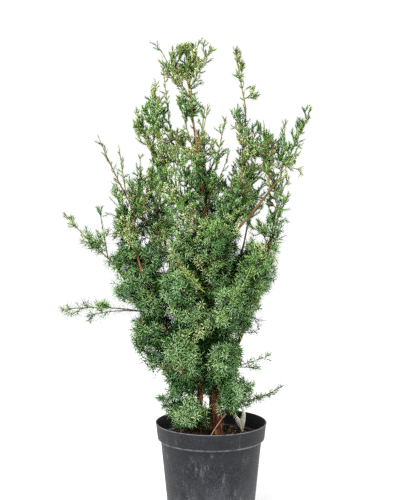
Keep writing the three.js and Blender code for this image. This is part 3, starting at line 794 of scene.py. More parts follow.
class Limb:
    """A stem or bough laid out in metres, walked by its length."""

    STEPS = 64
    FLARE_SWELL = 0.45
    FLARE_FADE = 14 * MM
    TAPER = 0.85
    BOW = 1.5

    def __init__(self, plan: LimbPlan, parent: "Limb | None", soil_top: float) -> None:
        """Lays the limb out.

        Args:
            plan: Its row in the table.
            parent: The limb it leaves, or none for a stem.
            soil_top: The height where a stem starts.
        """
        self.plan = plan
        tip = np.array(plan.tip) * MM
        if parent is None:
            start = np.array((plan.foot[0] * MM, plan.foot[1] * MM, soil_top))
        else:
            start = parent.point(plan.at)
        pull = (start + tip) / 2 + self.BOW * np.array(plan.bow) * MM
        one = np.array([1.0])
        self.curve = Twigs(start[None], pull[None], tip[None], one, np.array([0]), one)
        self._steps = np.linspace(0, 1, self.STEPS + 1)
        points = self.curve.point(np.zeros(self.STEPS + 1, int), self._steps)
        walked = np.concatenate([[0], np.cumsum(np.linalg.norm(np.diff(points, axis=0), axis=1))])
        self.length = float(walked[-1])
        self._walked = walked / self.length

    def raw(self, share: float | Array) -> Array:
        """The curve's own parameter at a share of the length."""
        return np.atleast_1d(np.interp(share, self._walked, self._steps))

    def point(self, share: float) -> Array:
        """The point at a share of the length."""
        return self.curve.point(np.array([0]), self.raw(share))[0]

    def around(self, share: Array, turn: Array) -> tuple[Array, Array, Array]:
        """What Twigs.around gives, at shares of the length."""
        return self.curve.around(np.zeros(len(share), int), self.raw(share), turn)

    def radius(self, share: float | Array) -> float | Array:
        """The limb's radius, with a stem's flare at its foot.

        Args:
            share: The share of the length where it is taken.

        Returns:
            The radius in metres.
        """
        root, tip = self.plan.radii
        flare = 0.0 if self.plan.on else self.FLARE_SWELL * np.exp(-share * self.length / self.FLARE_FADE)
        return blend(root, tip, share ** self.TAPER) * (1 + flare) * MM


def distances(points: Array, starts: Array, ends: Array) -> Array:
    """Distances from points to straight segments.

    Args:
        points: The points, as rows.
        starts: The segments' first ends.
        ends: Their second ends.

    Returns:
        A row for each point with a column for each segment.
    """
    runs = ends - starts
    off = points[:, None, :] - starts[None]
    share = np.einsum("nmk,mk->nm", off, runs) / np.maximum(np.sum(runs * runs, axis=1), TINY)
    off -= np.clip(share, 0, 1)[:, :, None] * runs[None]
    return np.sqrt(np.einsum("nmk,nmk->nm", off, off))


@dataclass(frozen=True)
class Opening:
    """A gap where the sky shows, as seen from the viewpoint on the upright plane through the pot's axis.

    Attributes:
        x: Its middle, to the right of the pot's axis, in millimetres.
        z: Its middle's height.
        across: Half its width.
        up: Half its height.
        until: The depth behind which foliage stays, so that a limb there shows instead of the sky.
    """

    x: float
    z: float
    across: float
    up: float
    until: float = math.inf


OPENINGS = tuple(Opening(*row) for row in (
    (-25, 972, 7, 16), (-67, 990, 8, 11), (-36, 991, 6, 8), (-110, 880, 6, 11), (-139, 860, 9, 8),
    (19, 887, 31, 60), (-11, 850, 7, 7), (-62, 822, 7, 14), (-14, 820, 10, 22), (-40, 799, 5, 10),
    (112, 817, 8, 15), (-47, 774, 12, 9), (11, 766, 8, 7), (-130, 752, 8, 15), (-4, 731, 11, 12),
    (-138, 727, 8, 18), (22, 721, 13, 13), (98, 741, 12, 10), (95, 690, 9, 9), (88, 622, 10, 12),
    (103, 579, 15, 14), (152, 686, 5, 13), (174, 727, 8, 6), (-207, 640, 14, 33), (-139, 577, 13, 15),
    (-192, 577, 7, 10), (-222, 546, 9, 11), (-96, 518, 14, 16), (-188, 490, 9, 10), (-187, 424, 34, 27),
    (-243, 429, 9, 14), (96, 415, 11, 24), (112, 440, 15, 30), (69, 358, 12, 32), (-104, 279, 16, 25),
    (-97, 261, 12, 14), (-55, 253, 9, 9), (61, 204, 20, 25), (34, 206, 28, 26), (-225, 612, 13, 20),
    (-218, 431, 13, 8), (-272, 598, 10, 11), (-178, 438, 12, 9), (-181, 686, 7, 12), (-66, 841, 7, 8),
    (-168, 399, 8, 10), (-152, 739, 6, 10), (-133, 330, 6, 9), (107, 461, 8, 8), (-77, 808, 8, 7),
    (88, 404, 6, 14), (-300, 627, 7, 8), (-97, 958, 13, 15), (-47, 807, 6, 15), (-20, 808, 8, 12),
    (26, 793, 6, 10), (-269, 437, 13, 5), (159, 796, 7, 8), (151, 629, 6, 10), (102, 624, 12, 7),
    (-153, 538, 8, 26, -20), (-134, 476, 8, 13, -20), (-92, 402, 12, 24, -14), (-1, 549, 8, 15, 0),
    (4, 441, 8, 18, 2), (7, 392, 7, 10, 4), (-48, 655, 10, 12, -17), (-64, 677, 10, 12, -17),
    (-75, 693, 9, 11, -17), (-13, 682, 8, 14, 2), (-21, 262, 15, 42, -9), (8, 268, 10, 30, 0),
    (-98, 204, 24, 15),
))


@dataclass(frozen=True)
class Spray:
    """A place where foliage closes the view, measured as an Opening is.

    Attributes:
        x: Its middle, to the right of the pot's axis, in millimetres.
        z: Its middle's height.
        across: Half its width.
        up: Half its height.
        depth: How far behind the pot's axis it hangs.
    """

    x: float
    z: float
    across: float
    up: float
    depth: float = 0.0


SPRAYS = tuple(Spray(*row) for row in (
    (-62, 972, 8, 9, 10), (-46, 866, 18, 23, 5), (-87, 742, 7, 11, -15), (-67, 929, 5, 10, 5),
    (-95, 840, 9, 16, -15), (-27, 831, 10, 17), (66, 938, 7, 9, 22), (60, 916, 8, 9, 22),
    (84, 892, 7, 11, 20), (94, 870, 7, 9, 18), (56, 962, 6, 10, 22), (62, 838, 9, 12, 20),
    (-24, 744, 7, 9, -14), (-22, 716, 8, 11, -16), (-153, 808, 8, 18, 10), (-62, 790, 8, 16),
    (2, 780, 8, 9), (-98, 770, 18, 17, -15), (135, 771, 8, 14, -25), (96, 751, 8, 7), (168, 740, 9, 8, -40),
    (138, 716, 13, 11, -10), (25, 688, 8, 10), (-167, 685, 7, 15, -10), (109, 684, 9, 10, -5),
    (146, 663, 10, 10, -8), (114, 655, 10, 14, 0), (-240, 579, 16, 15, -35), (-195, 534, 10, 17, -27),
    (127, 480, 6, 8), (-231, 442, 6, 8, -42), (-147, 359, 8, 14, -36), (89, 263, 8, 12, -60),
    (-102, 245, 12, 9, -38), (83, 226, 16, 12, -50),
))


@dataclass
class Space:
    """Where foliage may grow: each tuft within its reach, nearer to its own shoots than to another tuft's for
    its reach, clear of limbs, pot, soil and label, and out of the openings.

    Attributes:
        limbs: The laid-out limbs.
        shoots: The shoots of all tufts, in the tufts' order.
        pot_top: The height of the rim.
        soil_top: The height of the soil.
        pot_inner: The radius inside the pot that foliage keeps within.
        label_line: The label's foot and tip.
        parts: How many straight segments stand for a shoot.
        limb_parts: How many stand for a limb.
        clearance: How far foliage keeps from limbs.
        needle_room: How far inside its tuft's reach a twig ends.
        label_room: How far foliage keeps from the label.
        ceiling: The height that no twig passes.
        left_end: How far to the left twigs may go.
        edge_mean: The mean edge of an opening, against its size.
        edge_waves: How many waves its edge has, and how high they are.
    """

    limbs: list[Limb]
    shoots: Twigs
    pot_top: float
    soil_top: float
    pot_inner: float
    label_line: tuple[Array, Array]

    parts: int = 5
    limb_parts: int = 9
    clearance: float = 1.4 * MM
    needle_room: float = 3.0 * MM
    label_room: float = 10 * MM
    ceiling: float = 990 * MM
    left_end: float = -303 * MM
    edge_mean: float = 0.9
    edge_waves: tuple[Pair, Pair] = ((3, 0.22), (7, 0.2))

    def __post_init__(self) -> None:
        """Cuts the shoots and limbs into straight segments."""
        count = len(self.shoots)
        which = np.repeat(np.arange(count), self.parts)
        part = np.tile(np.arange(self.parts), count) / self.parts
        self.starts = self.shoots.point(which, part)
        self.ends = self.shoots.point(which, part + 1 / self.parts)
        owner = self.shoots.tuft[which]
        self.first = np.flatnonzero(np.diff(owner, prepend=-1))
        self.reach = np.array([plan.reach * plan.slim * MM for plan in TUFTS])
        self.clad = np.array([plan.clad for plan in TUFTS])
        shares = np.linspace(0, 1, self.limb_parts + 1)
        edges = [limb.curve.point(np.zeros(len(shares), int), limb.raw(shares)) for limb in self.limbs]
        self.limb_starts = np.concatenate([e[:-1] for e in edges])
        self.limb_ends = np.concatenate([e[1:] for e in edges])
        self.limb_radii = np.concatenate([limb.radius(shares[:-1]) for limb in self.limbs])

    @staticmethod
    def seen_at(points: Array, depth: float | Array) -> Array:
        """Points moved along the viewer's line of sight to another depth."""
        eye = np.array(Studio.camera_place)
        return eye + (points - eye) * ((depth - eye[1]) / (points[:, 1:2] - eye[1]))

    def in_opening(self, points: Array) -> Array:
        """Tests points for the openings, whose edges are wavy.

        Args:
            points: The points, as rows.

        Returns:
            True for each point that is seen in an opening.
        """
        (few, low), (many, high) = self.edge_waves
        seen = self.seen_at(points, 0.0)
        inside = np.zeros(len(points), bool)
        for gap in OPENINGS:
            off = (seen[:, [0, 2]] - np.array((gap.x, gap.z)) * MM) / (np.array((gap.across, gap.up)) * MM)
            turn = np.arctan2(off[:, 1], off[:, 0])
            edge = self.edge_mean + low * np.sin(few * turn + gap.x) + high * np.sin(many * turn + gap.z)
            inside |= (np.hypot(off[:, 0], off[:, 1]) < edge) & (points[:, 1] < gap.until * MM)
        return inside

    def _near(self, points: Array) -> Array:
        """A row for each point with its distance from each tuft's shoots."""
        return np.minimum.reduceat(distances(points, self.starts, self.ends), self.first, axis=1)

    def owner(self, points: Array) -> Array:
        """The tuft in whose share of the space each point lies."""
        return np.argmin(self._near(points) / self.reach, axis=1)

    def allows(self, tuft: int, points: Array) -> Array:
        """Tests points for one tuft.

        Args:
            tuft: The tuft's number.
            points: The points, as rows.

        Returns:
            True for each point where the tuft may grow.
        """
        near, reach = self._near(points), self.reach[tuft]
        own = near[:, tuft]
        away = (near / self.reach - (own / reach)[:, None]) * np.minimum(self.reach, reach)
        away[:, self.clad] = math.inf
        away[:, tuft] = math.inf
        clear = distances(points, self.limb_starts, self.limb_ends) - self.limb_radii
        level = np.hypot(points[:, 0], points[:, 1])
        over_rim = points[:, 2] > self.pot_top + 2 * self.clearance
        inside = (level < self.pot_inner) & (points[:, 2] > self.soil_top + 4 * self.clearance)
        label = distances(points, self.label_line[0][None], self.label_line[1][None])[:, 0]
        return (
            ~self.in_opening(points)
            & (own < reach - self.needle_room)
            & (away.min(axis=1) > 0)
            & (clear.min(axis=1) > self.clearance)
            & (over_rim | inside)
            & (label > self.label_room)
            & (points[:, 2] < self.ceiling)
            & (points[:, 0] > self.left_end)
        )


@dataclass(frozen=True)
class Order:
    """One order of twigs. A pair holds the value at the top of the plant, then the value low down.

    Attributes:
        step: Millimetres between two that leave the same twig.
        lean: The angle away from that twig, in radians.
        lean_vary: How much the angle varies.
        lift: How far they turn up to the light.
        turn_vary: How much the turn round the twig varies.
        radius: The radius at the root, in millimetres.
        length: Millimetres. Side twigs, which have none, are as long as their tuft's reach asks.
        wider: How much wider the angle is at the other twig's root, as a share.
        turn: The turn round that twig from one to the next.
        shortest: What is too short to grow, in millimetres.
        room: The side of the cell that holds one tip only, in millimetres. Spurs need neither of these.
    """

    step: Pair
    lean: Pair
    lean_vary: float
    lift: Pair
    turn_vary: float
    radius: float
    length: Pair = (0.0, 0.0)
    wider: float = 0.0
    turn: float = 2.4
    shortest: float = 0.0
    room: Pair = (0.0, 0.0)


@dataclass(frozen=True)
class NeedlePlan:
    """The needles, with pairs as in Order. Lengths are millimetres and angles radians."""

    whorl_step: Pair = (2.9, 4.2)
    lean: Pair = (0.52, 1.05)
    lean_vary: float = 0.2
    length: Pair = (7.0, 13.5)
    width: Pair = (1.25, 1.4)
    wider_inside: float = 0.45
    tip_width: float = 0.4
    thickness: float = 0.4
    each: int = 3
    shorter_at_tip: float = 0.25
    closed_at_tip: float = 0.45
    closed_from: float = 0.7
    share_vary: float = 0.012
    turn_vary: float = 0.22
    length_vary: Pair = (0.78, 1.15)


@dataclass(frozen=True)
class FillPlan:
    """How branchlets fill what is empty in a dense tuft, with pairs as in Order.

    Attributes:
        rounds: How many times each tuft is filled.
        tries: How many places are tried each time.
        reach: How far out they lie, as a share of the tuft's reach.
        along: The power that gathers them towards a shoot's root, and the last share of the shoot.
        out: The power that gathers them in the outer part of the reach.
        gap: How far from any twig a place has to be, in metres.
        longest: The longest branchlet, in metres.
        over: The reach over which a tuft is filled, in millimetres.
        knots: The shares of a standing twig where branchlets may start.
        backward: How much farther a twig seems that would have to be followed backwards.
        cell: The side of the cell that holds one place, against the gap.
        sway: How far the middle is pushed aside, as a share of the length.
    """

    rounds: int = 3
    tries: int = 500
    reach: float = 0.86
    along: Pair = (1.2, 0.9)
    out: float = 0.4
    gap: Pair = (12.5 * MM, 11.0 * MM)
    longest: float = 42 * MM
    over: float = 31.0
    knots: tuple[float, ...] = (0.25, 0.5, 0.75, 1.0)
    backward: float = 1.6
    cell: float = 1.2
    sway: float = 0.06


@dataclass(frozen=True)
class DealPlan:
    """How tints are dealt: in drifts, the dry one in patches and the shade's deep inside the crown.

    Attributes:
        drifts_per_metre: How fine the drifts are.
        drift_spread: How much a drift changes the draw.
        drift_vary: How much single twigs differ.
        dry_per_metre: How fine the dry patches are.
        dry_shift: What moves their pattern away from the drifts'.
        dry_over: The noise above which a patch is dry.
        dry_often: How much oftener twigs there are dry than the deal says.
        shaded_from: The depth in the canopy where shade begins.
        shaded: How much of the shade's tint is dealt at the top and low down.
        shaded_at_foot: How much of that is left at the plant's foot.
        foot_heights: The heights between which the foot ends.
    """

    drifts_per_metre: float = 16.0
    drift_spread: float = 0.75
    drift_vary: float = 0.2
    dry_per_metre: float = 22.0
    dry_shift: Place = (7, 3, 5)
    dry_over: float = 0.32
    dry_often: float = 9.0
    shaded_from: float = 0.06
    shaded: Pair = (0.3, 1.0)
    shaded_at_foot: float = 0.4
    foot_heights: Pair = (0.24, 0.36)


LIMB_TWIGS = Order(step=(8.0, 8.0), lean=(0.75, 1.2), lean_vary=0.25, lift=(0.25, 0.0), turn_vary=0.5,
                   length=(20, 34), shortest=8, radius=0.8, room=(7, 9))
SPURS = Order(step=(5.0, 5.0), lean=(0.6, 1.0), lean_vary=0.3, lift=(0.3, 0.3), turn_vary=0.8,
              length=(24, 26), radius=0.6)
FINGERS = Order(step=(7.0, 8.0), lean=(0.5, 0.8), lean_vary=0.25, lift=(0.3, 0.3), turn_vary=0.5,
                length=(18, 18), radius=0.45)
SPRIG_SPURS = Order(step=(5.0, 5.0), lean=(0.6, 0.75), lean_vary=0.2, lift=(0.2, 0.2), turn_vary=0.4,
                    length=(16, 16), radius=0.5)
SIDES = Order(step=(8.5, 9.5), lean=(0.56, 0.85), wider=0.55, lean_vary=0.22, lift=(0.34, 0.03),
              turn=FULL_TURN / 3, turn_vary=0.4, shortest=10, radius=0.8, room=(7, 9))
BRANCHLETS = Order(step=(8.6, 9.5), lean=(0.55, 0.8), wider=0.25, lean_vary=0.22, lift=(0.3, 0.0),
                   turn=math.pi, turn_vary=0.8, length=(19, 27), shortest=8, radius=0.6, room=(6, 8))
TWIGLETS = Order(step=(8.2, 6.9), lean=(0.52, 0.8), wider=0.2, lean_vary=0.24, lift=(0.3, 0.0),
                 turn=math.pi, turn_vary=0.8, length=(15.5, 14.5), shortest=5, radius=0.45, room=(6.4, 7.4))
NEEDLES = NeedlePlan()
FILL = FillPlan()
DEALING = DealPlan()

YOUNG_UNDER, OLD_OVER = 500 * MM, 700 * MM


def youth_at(height: Array) -> Array:
    """1 low down, where needles are long and spread, to 0 at the top."""
    return ease(height, OLD_OVER, YOUNG_UNDER)


def noise_at(places: Array, per_metre: float, shift: Place = (0, 0, 0)) -> Array:
    """Smooth noise about 0 at each place, by its cells in each metre and the shift of its pattern."""
    return np.array([noise.noise(Vector(place) * per_metre + Vector(shift)) for place in places])


class MeshArrays:
    """Triangles gathered from many small shapes, made one mesh object at the end."""

    def __init__(self) -> None:
        """Starts empty."""
        self.places: list[Array] = []
        self.faces: list[Array] = []
        self.slots: list[Array] = []
        self.grains: list[Array] = []
        self.count = 0

    def add(
        self, places: Array, faces: Array, slots: Array | None = None, grains: Array | None = None
    ) -> None:
        """Adds triangles.

        Args:
            places: Vertices, as rows.
            faces: Three vertex numbers a row, counted from this call's first vertex.
            slots: The material slot of each triangle, or none if it is the first.
            grains: The bark's coordinates of each vertex, or none.
        """
        self.places.append(places)
        self.faces.append(faces + self.count)
        self.slots.append(np.zeros(len(faces), int) if slots is None else slots)
        if grains is not None:
            self.grains.append(grains)
        self.count += len(places)

    def build(self, name: str, materials: list[bpy.types.Material]) -> bpy.types.Object:
        """Makes the object.

        Args:
            name: The piece's name.
            materials: Its material slots.

        Returns:
            The object, linked to the scene.
        """
        places, faces = np.concatenate(self.places), np.concatenate(self.faces)
        mesh = bpy.data.meshes.new(name)
        mesh.vertices.add(len(places))
        mesh.vertices.foreach_set("co", places.astype(np.float32).ravel())
        mesh.loops.add(faces.size)
        mesh.loops.foreach_set("vertex_index", faces.astype(np.int32).ravel())
        mesh.polygons.add(len(faces))
        mesh.polygons.foreach_set("loop_start", np.arange(0, faces.size, 3, dtype=np.int32))
        mesh.polygons.foreach_set("material_index", np.concatenate(self.slots).astype(np.int32))
        for material in materials:
            mesh.materials.append(material)
        if self.grains:
            grain = mesh.attributes.new("grain", "FLOAT_VECTOR", "POINT")
            grain.data.foreach_set("vector", np.concatenate(self.grains).astype(np.float32).ravel())
        mesh.update(calc_edges=True)
        return link(name, mesh)


def link(name: str, mesh: bpy.types.Mesh) -> bpy.types.Object:
    """Puts a mesh in the scene.

    Args:
        name: The object's name.
        mesh: The mesh.

    Returns:
        The object, at the origin.
    """
    piece = bpy.data.objects.new(name, mesh)
    bpy.context.scene.collection.objects.link(piece)
    return piece


def solid(
    made: bmesh.types.BMesh, name: str, material: bpy.types.Material | None = None, smooth: bool = True
) -> bpy.types.Object:
    """Turns a bmesh into an object at the origin.

    Args:
        made: The bmesh, which is freed.
        name: The object's name.
        material: Its material, or none yet.
        smooth: Whether its faces are shaded smooth.

    Returns:
        The object.
    """
    for face in made.faces:
        face.smooth = smooth
    mesh = bpy.data.meshes.new(name)
    made.to_mesh(mesh)
    made.free()
    if material:
        mesh.materials.append(material)
    return link(name, mesh)


def line_of(section: list[tuple[float, float]]) -> bmesh.types.BMesh:
    """Lays out a section that is to be spun.

    Args:
        section: The distance from the axis and the height of each corner.

    Returns:
        A bmesh with an edge between each two corners.
    """
    made = bmesh.new()
    verts = [made.verts.new((x, 0.0, z)) for x, z in section]
    for one, two in zip(verts, verts[1:]):
        made.edges.new((one, two))
    return made


def spin_round(made: bmesh.types.BMesh, steps: int) -> None:
    """Spins a section once round the pot's axis and joins its ends.

    Args:
        made: The section.
        steps: How many faces go round.
    """
    bmesh.ops.spin(made, geom=list(made.verts) + list(made.edges), cent=(0, 0, 0), axis=(0, 0, 1),
                   angle=FULL_TURN, steps=steps, use_merge=True, use_duplicate=False)
    bmesh.ops.remove_doubles(made, verts=made.verts, dist=JOIN)


def settle(piece: bpy.types.Object, slot: str, *nodes: str) -> None:
    """Attaches a piece to the body, hides the nodes that it stands for and logs its faces.

    Args:
        piece: The piece.
        slot: The record's material slot, which is not used.
        nodes: The nodes that it stands for, if any.
    """
    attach(piece, BODY)
    if nodes:
        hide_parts(*nodes)
    log.info("%s: %d faces", piece.name, len(piece.data.polygons))


def rods(twigs: Twigs, rings: int, sides: int, tip_share: float) -> tuple[Array, Array]:
    """Thin tapering rods along twigs, closed to a point at the tip.

    Args:
        twigs: The twigs.
        rings: How many rings of corners each has before its tip.
        sides: How many corners a ring has.
        tip_share: The radius near the tip as a share of the root's.

    Returns:
        The vertices, and the triangles by vertex number.
    """
    count = len(twigs)
    shares = np.arange(rings) / rings
    which = np.repeat(np.arange(count), rings)
    share = np.tile(shares, count)
    along = twigs.along(which, share)
    across, beside = twigs.sides(which, along)
    radius = twigs.radius[which] * blend(1.0, tip_share, share)
    turns = FULL_TURN * np.arange(sides) / sides
    out = across[:, None] * np.cos(turns)[None, :, None] + beside[:, None] * np.sin(turns)[None, :, None]
    ring_places = twigs.point(which, share)[:, None] + radius[:, None, None] * out
    rod_places = ring_places.reshape(count, rings * sides, 3)
    places = np.concatenate([rod_places, twigs.tip[:, None]], axis=1)
    face_rows = [(0, s + 1, s) for s in range(1, sides - 1)]
    for ring in range(rings - 1):
        for side in range(sides):
            low, next_low = ring * sides + side, ring * sides + (side + 1) % sides
            face_rows += [(low, next_low, next_low + sides), (low, next_low + sides, low + sides)]
    last = (rings - 1) * sides
    face_rows += [(last + s, last + (s + 1) % sides, rings * sides) for s in range(sides)]
    pattern = np.array(face_rows)
    faces = pattern[None] + (np.arange(count) * (rings * sides + 1))[:, None, None]
    return places.reshape(-1, 3), faces.reshape(-1, 3)


class Canopy:
    """How deep places lie inside the crown, from the count of twigs between them and the open air."""

    CELL = 14 * MM

    def __init__(self, places: Array) -> None:
        """Counts twigs in cells, then the fewest on any way out but down.

        Args:
            places: Where the twigs end, as rows.
        """
        self._low = places.min(axis=0) - 2 * self.CELL
        cells = self._cells(places)
        counts = np.zeros(cells.max(axis=0) + 3)
        np.add.at(counts, tuple(cells.T), 1.0)
        for axis in range(3):
            counts = (counts + np.roll(counts, 1, axis) + np.roll(counts, -1, axis)) / 3
        ways = []
        for axis in range(3):
            walked = np.cumsum(counts, axis=axis)
            whole = walked.take([-1], axis=axis)
            ways += [whole - walked + counts] if axis == 2 else [walked, whole - walked + counts]
        self._cover = np.minimum.reduce(ways)
        self._ranked = np.sort(self._cover[tuple(cells.T)])

    def _cells(self, places: Array) -> Array:
        """The cell of each place."""
        return np.floor((places - self._low) / self.CELL).astype(int)

    def depth(self, places: Array) -> Array:
        """0 for the outermost of the counted twigs to 1 for the most buried."""
        cells = np.clip(self._cells(places), 0, np.array(self._cover.shape) - 1)
        return np.searchsorted(self._ranked, self._cover[tuple(cells.T)]) / len(self._ranked)


@dataclass
class Foliage:
    """The tufts: shoots, side twigs, twiglets and needles, grown from the limbs."""

    limbs: dict[str, Limb]
    space_sizes: dict
    seed: int = 101
    shoot_radius: float = 1.45 * MM
    fork_thinner: float = 0.85
    sprig_radius: float = 1.0 * MM
    sag_pull: float = 1.5
    fork_first: float = 0.14
    fork_step: float = 0.13
    fork_bare: float = 0.08
    side_first: float = 0.05
    last: float = 0.98
    needle_last: float = 0.99
    side_vary: float = 0.3
    crown: Pair = (0.42, 0.58)
    loose_step: float = 1.5
    lean_limits: Pair = (0.25, 1.45)
    spread_limits: Pair = (0.45, 1.45)
    tries: int = 6
    shrink: float = 0.8
    halfway: float = 0.55
    owner_at: float = 0.7
    twig_sag: float = 0.14
    twig_wander: float = 0.04
    twig_bare: float = 0.05
    length_fall: Pair = (1.1, 0.5)
    length_vary: Pair = (0.7, 1.15)
    clad_side: float = 13 * MM
    spur_vary: Pair = (0.35, 1.1)
    spur_sag: float = 0.1
    spur_bare: float = 0.1
    spray_tries: int = 60
    spray_deep: float = 7.0
    spray_gap: float = 6.0 * MM
    finger_reach: float = 32.0
    on_sides: float = 1.3
    on_shoots: float = 1.6
    needles_apart: tuple[float, ...] = (1.0, 1.2, 1.4, 1.2, 1.0)
    green_wax: float = 0.4
    bloom_wax: float = 1.0
    straw_height: float = 0.66
    pockets_per_metre: float = 34.0
    pocket_under: float = -0.17
    pocket_depth: float = 0.75

    NEEDLE_FACES = np.array(((0, 1, 2), (0, 2, 3), (1, 0, 3), (1, 3, 2)))
    NEEDLE_SLOTS = np.array((1, 1, 0, 0))

    def __post_init__(self) -> None:
        """Lays the shoots out."""
        self.random = np.random.default_rng(self.seed)
        self.shoots = Twigs.joined([self._shoots_of(number, plan) for number, plan in enumerate(TUFTS)])
        self.space = Space(limbs=list(self.limbs.values()), shoots=self.shoots, **self.space_sizes)

    def _bowed(self, start: Array, tip: Array, sag: float) -> Array:
        """The pull of a shoot whose middle hangs under the straight line."""
        level = math.hypot(tip[0] - start[0], tip[1] - start[1])
        return (start + tip) / 2 - self.sag_pull * sag * level * UP

    def _shoots_of(self, number: int, plan: TuftPlan) -> Twigs:
        """The shoots of one tuft: the first from the limb, the others forking from it.

        Args:
            number: The tuft's number.
            plan: Its row in the table.

        Returns:
            The shoots.
        """
        root = self.limbs[plan.on].point(plan.at)
        tips = np.array(plan.tips) * MM
        pull = self._bowed(root, tips[0], plan.sag)
        first = Twigs(root[None], pull[None], tips[:1], np.array([self.shoot_radius]),
                      np.array([number]), np.array([max(plan.bare, self.side_first)]))
        forks = len(tips) - 1
        starts = first.point(np.zeros(forks, int), self.fork_first + self.fork_step * np.arange(forks))
        pulls = [self._bowed(start, tip, plan.sag) for start, tip in zip(starts, tips[1:])]
        thin = np.full(forks, self.fork_thinner * self.shoot_radius)
        rest = Twigs(starts, np.array(pulls).reshape(-1, 3), tips[1:], thin, np.full(forks, number),
                     np.full(forks, self.fork_bare))
        return Twigs.joined([first, rest])

    def _spaced(self, parents: Twigs, steps: Array, last: float) -> tuple[Array, Array, Array]:
        """Evenly spaced places along twigs.

        Args:
            parents: The twigs.
            steps: The distance between places on each.
            last: The share where the last may be.

        Returns:
            The twig's number, the share and the count from its root, for each place.
        """
        room = (last - parents.bare) * parents.lengths()
        counts = np.maximum(1, np.round(room / steps)).astype(int)
        which = np.repeat(np.arange(len(parents)), counts)
        number = np.arange(len(which)) - np.repeat(np.cumsum(counts) - counts, counts)
        share = parents.bare[which] + (last - parents.bare[which]) * (number + 0.5) / counts[which]
        return which, share, number

    def _grown(self, order: Order, parents: Twigs, which: Array, share: Array, number: Array,
               lengths: Callable[[Array], Array], free: bool = False) -> Twigs:
        """Twigs of one order, each as long as its tuft's space allows.

        Args:
            order: The order's sizes.
            parents: The twigs that they leave.
            which: The parent of each.
            share: How far along it they leave.
            number: The count of each along its parent.
            lengths: What gives the most that each may measure from its lean.
            free: Whether each belongs to the tuft that it grows into instead of to its parent's.

        Returns:
            The twigs that found room.
        """
        youth = youth_at(parents.point(which, share)[:, 2])
        lean = blend(*order.lean, youth) * (1 + order.wider * (1 - share))
        lean += self.random.normal(0, order.lean_vary, len(which))
        turn = order.turn * (number + 0.5) + self.random.normal(0, order.turn_vary, len(which))
        roots, headings = parents.leaving(which, share, turn, np.clip(lean, *self.lean_limits))
        headings = unit(headings + blend(*order.lift, youth)[:, None] * UP)
        size = lengths(np.sin(np.clip(lean, *self.spread_limits)))
        beyond = roots + self.owner_at * size[:, None] * headings
        tufts = self.space.owner(beyond) if free else parents.tuft[which]
        good = np.zeros(len(which), bool)
        for _ in range(self.tries):
            for tuft in np.unique(tufts[~good]):
                rows = np.flatnonzero((tufts == tuft) & ~good)
                reach = size[rows, None] * headings[rows]
                good[rows] = self.space.allows(tuft, roots[rows] + reach)
                good[rows] &= self.space.allows(tuft, roots[rows] + self.halfway * reach)
            size[~good] *= self.shrink
        keep = good & (size > order.shortest * MM)
        roots, headings, size = roots[keep], headings[keep], size[keep, None]
        tips = roots + headings * size
        wander = self.random.normal(0, self.twig_wander, roots.shape) * size
        pulls = (roots + tips) / 2 - self.twig_sag * size * UP * (1 - np.abs(headings[:, 2:])) + wander
        radius = np.full(len(roots), order.radius * MM)
        grown = Twigs(roots, pulls, tips, radius, tufts[keep], np.full(len(roots), self.twig_bare))
        cells = np.floor(tips / (blend(*order.room, youth[keep]) * MM)[:, None]).astype(int)
        first = np.unique(np.column_stack([grown.tuft, cells]), axis=0, return_index=True)[1]
        return grown.picked(np.sort(first))

    def _side_twigs(self) -> Twigs:
        """Grows the twigs that leave the shoots, by the rule of the solids.

        Returns:
            The twigs.
        """
        plans = [TUFTS[number] for number in self.shoots.tuft]
        steps = blend(*SIDES.step, youth_at(self.shoots.tip[:, 2])) * MM
        steps *= np.array([1.0 if plan.dense else self.loose_step for plan in plans])
        which, share, number = self._spaced(self.shoots, steps, self.last)
        clad = np.array([plan.clad for plan in plans])[which]
        reach = np.array([plan.reach * plan.slim * MM for plan in plans])[which]
        crown = self.crown[0] + self.crown[1] * np.sqrt(1 - share)
        most = reach * crown * (1 - self.side_vary * self.random.random(len(which)))
        return self._grown(SIDES, self.shoots, which, share, number,
                           lambda spread: np.where(clad, np.minimum(most, self.clad_side), most / spread))

    def _finer(self, order: Order, parents: Twigs, sparse: float = 1.0, free: bool = False) -> Twigs:
        """The next order of twigs.

        Args:
            order: The order's sizes.
            parents: The twigs or limbs that they leave.
            sparse: How far apart they are, against the order's own step.
            free: Whether they leave limbs, which belong to no tuft.

        Returns:
            The twigs.
        """
        steps = blend(*order.step, youth_at(parents.tip[:, 2])) * MM * sparse
        which, share, number = self._spaced(parents, steps, self.last)
        most = blend(*order.length, youth_at(parents.tip[which, 2])) * MM
        at_root, fall = self.length_fall
        most = most * (at_root - fall * share) * self.random.uniform(*self.length_vary, len(which))
        return self._grown(order, parents, which, share, number, lambda spread: most.copy(), free)

    def _parts(self, parts: list[Pair]) -> Twigs:
        """Parts of the limbs' lines.

        Args:
            parts: For each limb the share where it starts to carry something, and the share where it ends.

        Returns:
            The lines, bare as far as the first share.
        """
        curves = Twigs.joined([limb.curve for limb in self.limbs.values()])
        shares = np.array(parts)
        ends = curves.point(np.arange(len(curves)), shares[:, 1])
        pulls = blend(curves.root, curves.pull, shares[:, 1:])
        return Twigs(curves.root, pulls, ends, curves.radius, curves.tuft, shares[:, 0] / shares[:, 1])

    def _limb_twigs(self) -> Twigs:
        """The twigs that leave the leafy part of each limb."""
        leafy = self._parts([limb.plan.leafy for limb in self.limbs.values()])
        return self._finer(LIMB_TWIGS, leafy, free=True)

    def _sprigs(self) -> Twigs:
        """The fresh shoots over the front of the crown.

        Returns:
            The shoots.
        """
        rows = [(sprig.root, sprig.pull, sprig.tip) for sprig in SPRIGS]
        root, pull, tip = np.array(rows).swapaxes(0, 1) * MM
        radius, bare = np.full(len(SPRIGS), self.sprig_radius), np.full(len(SPRIGS), self.spur_bare)
        return Twigs(root, pull, tip, radius, self.space.owner(tip), bare)

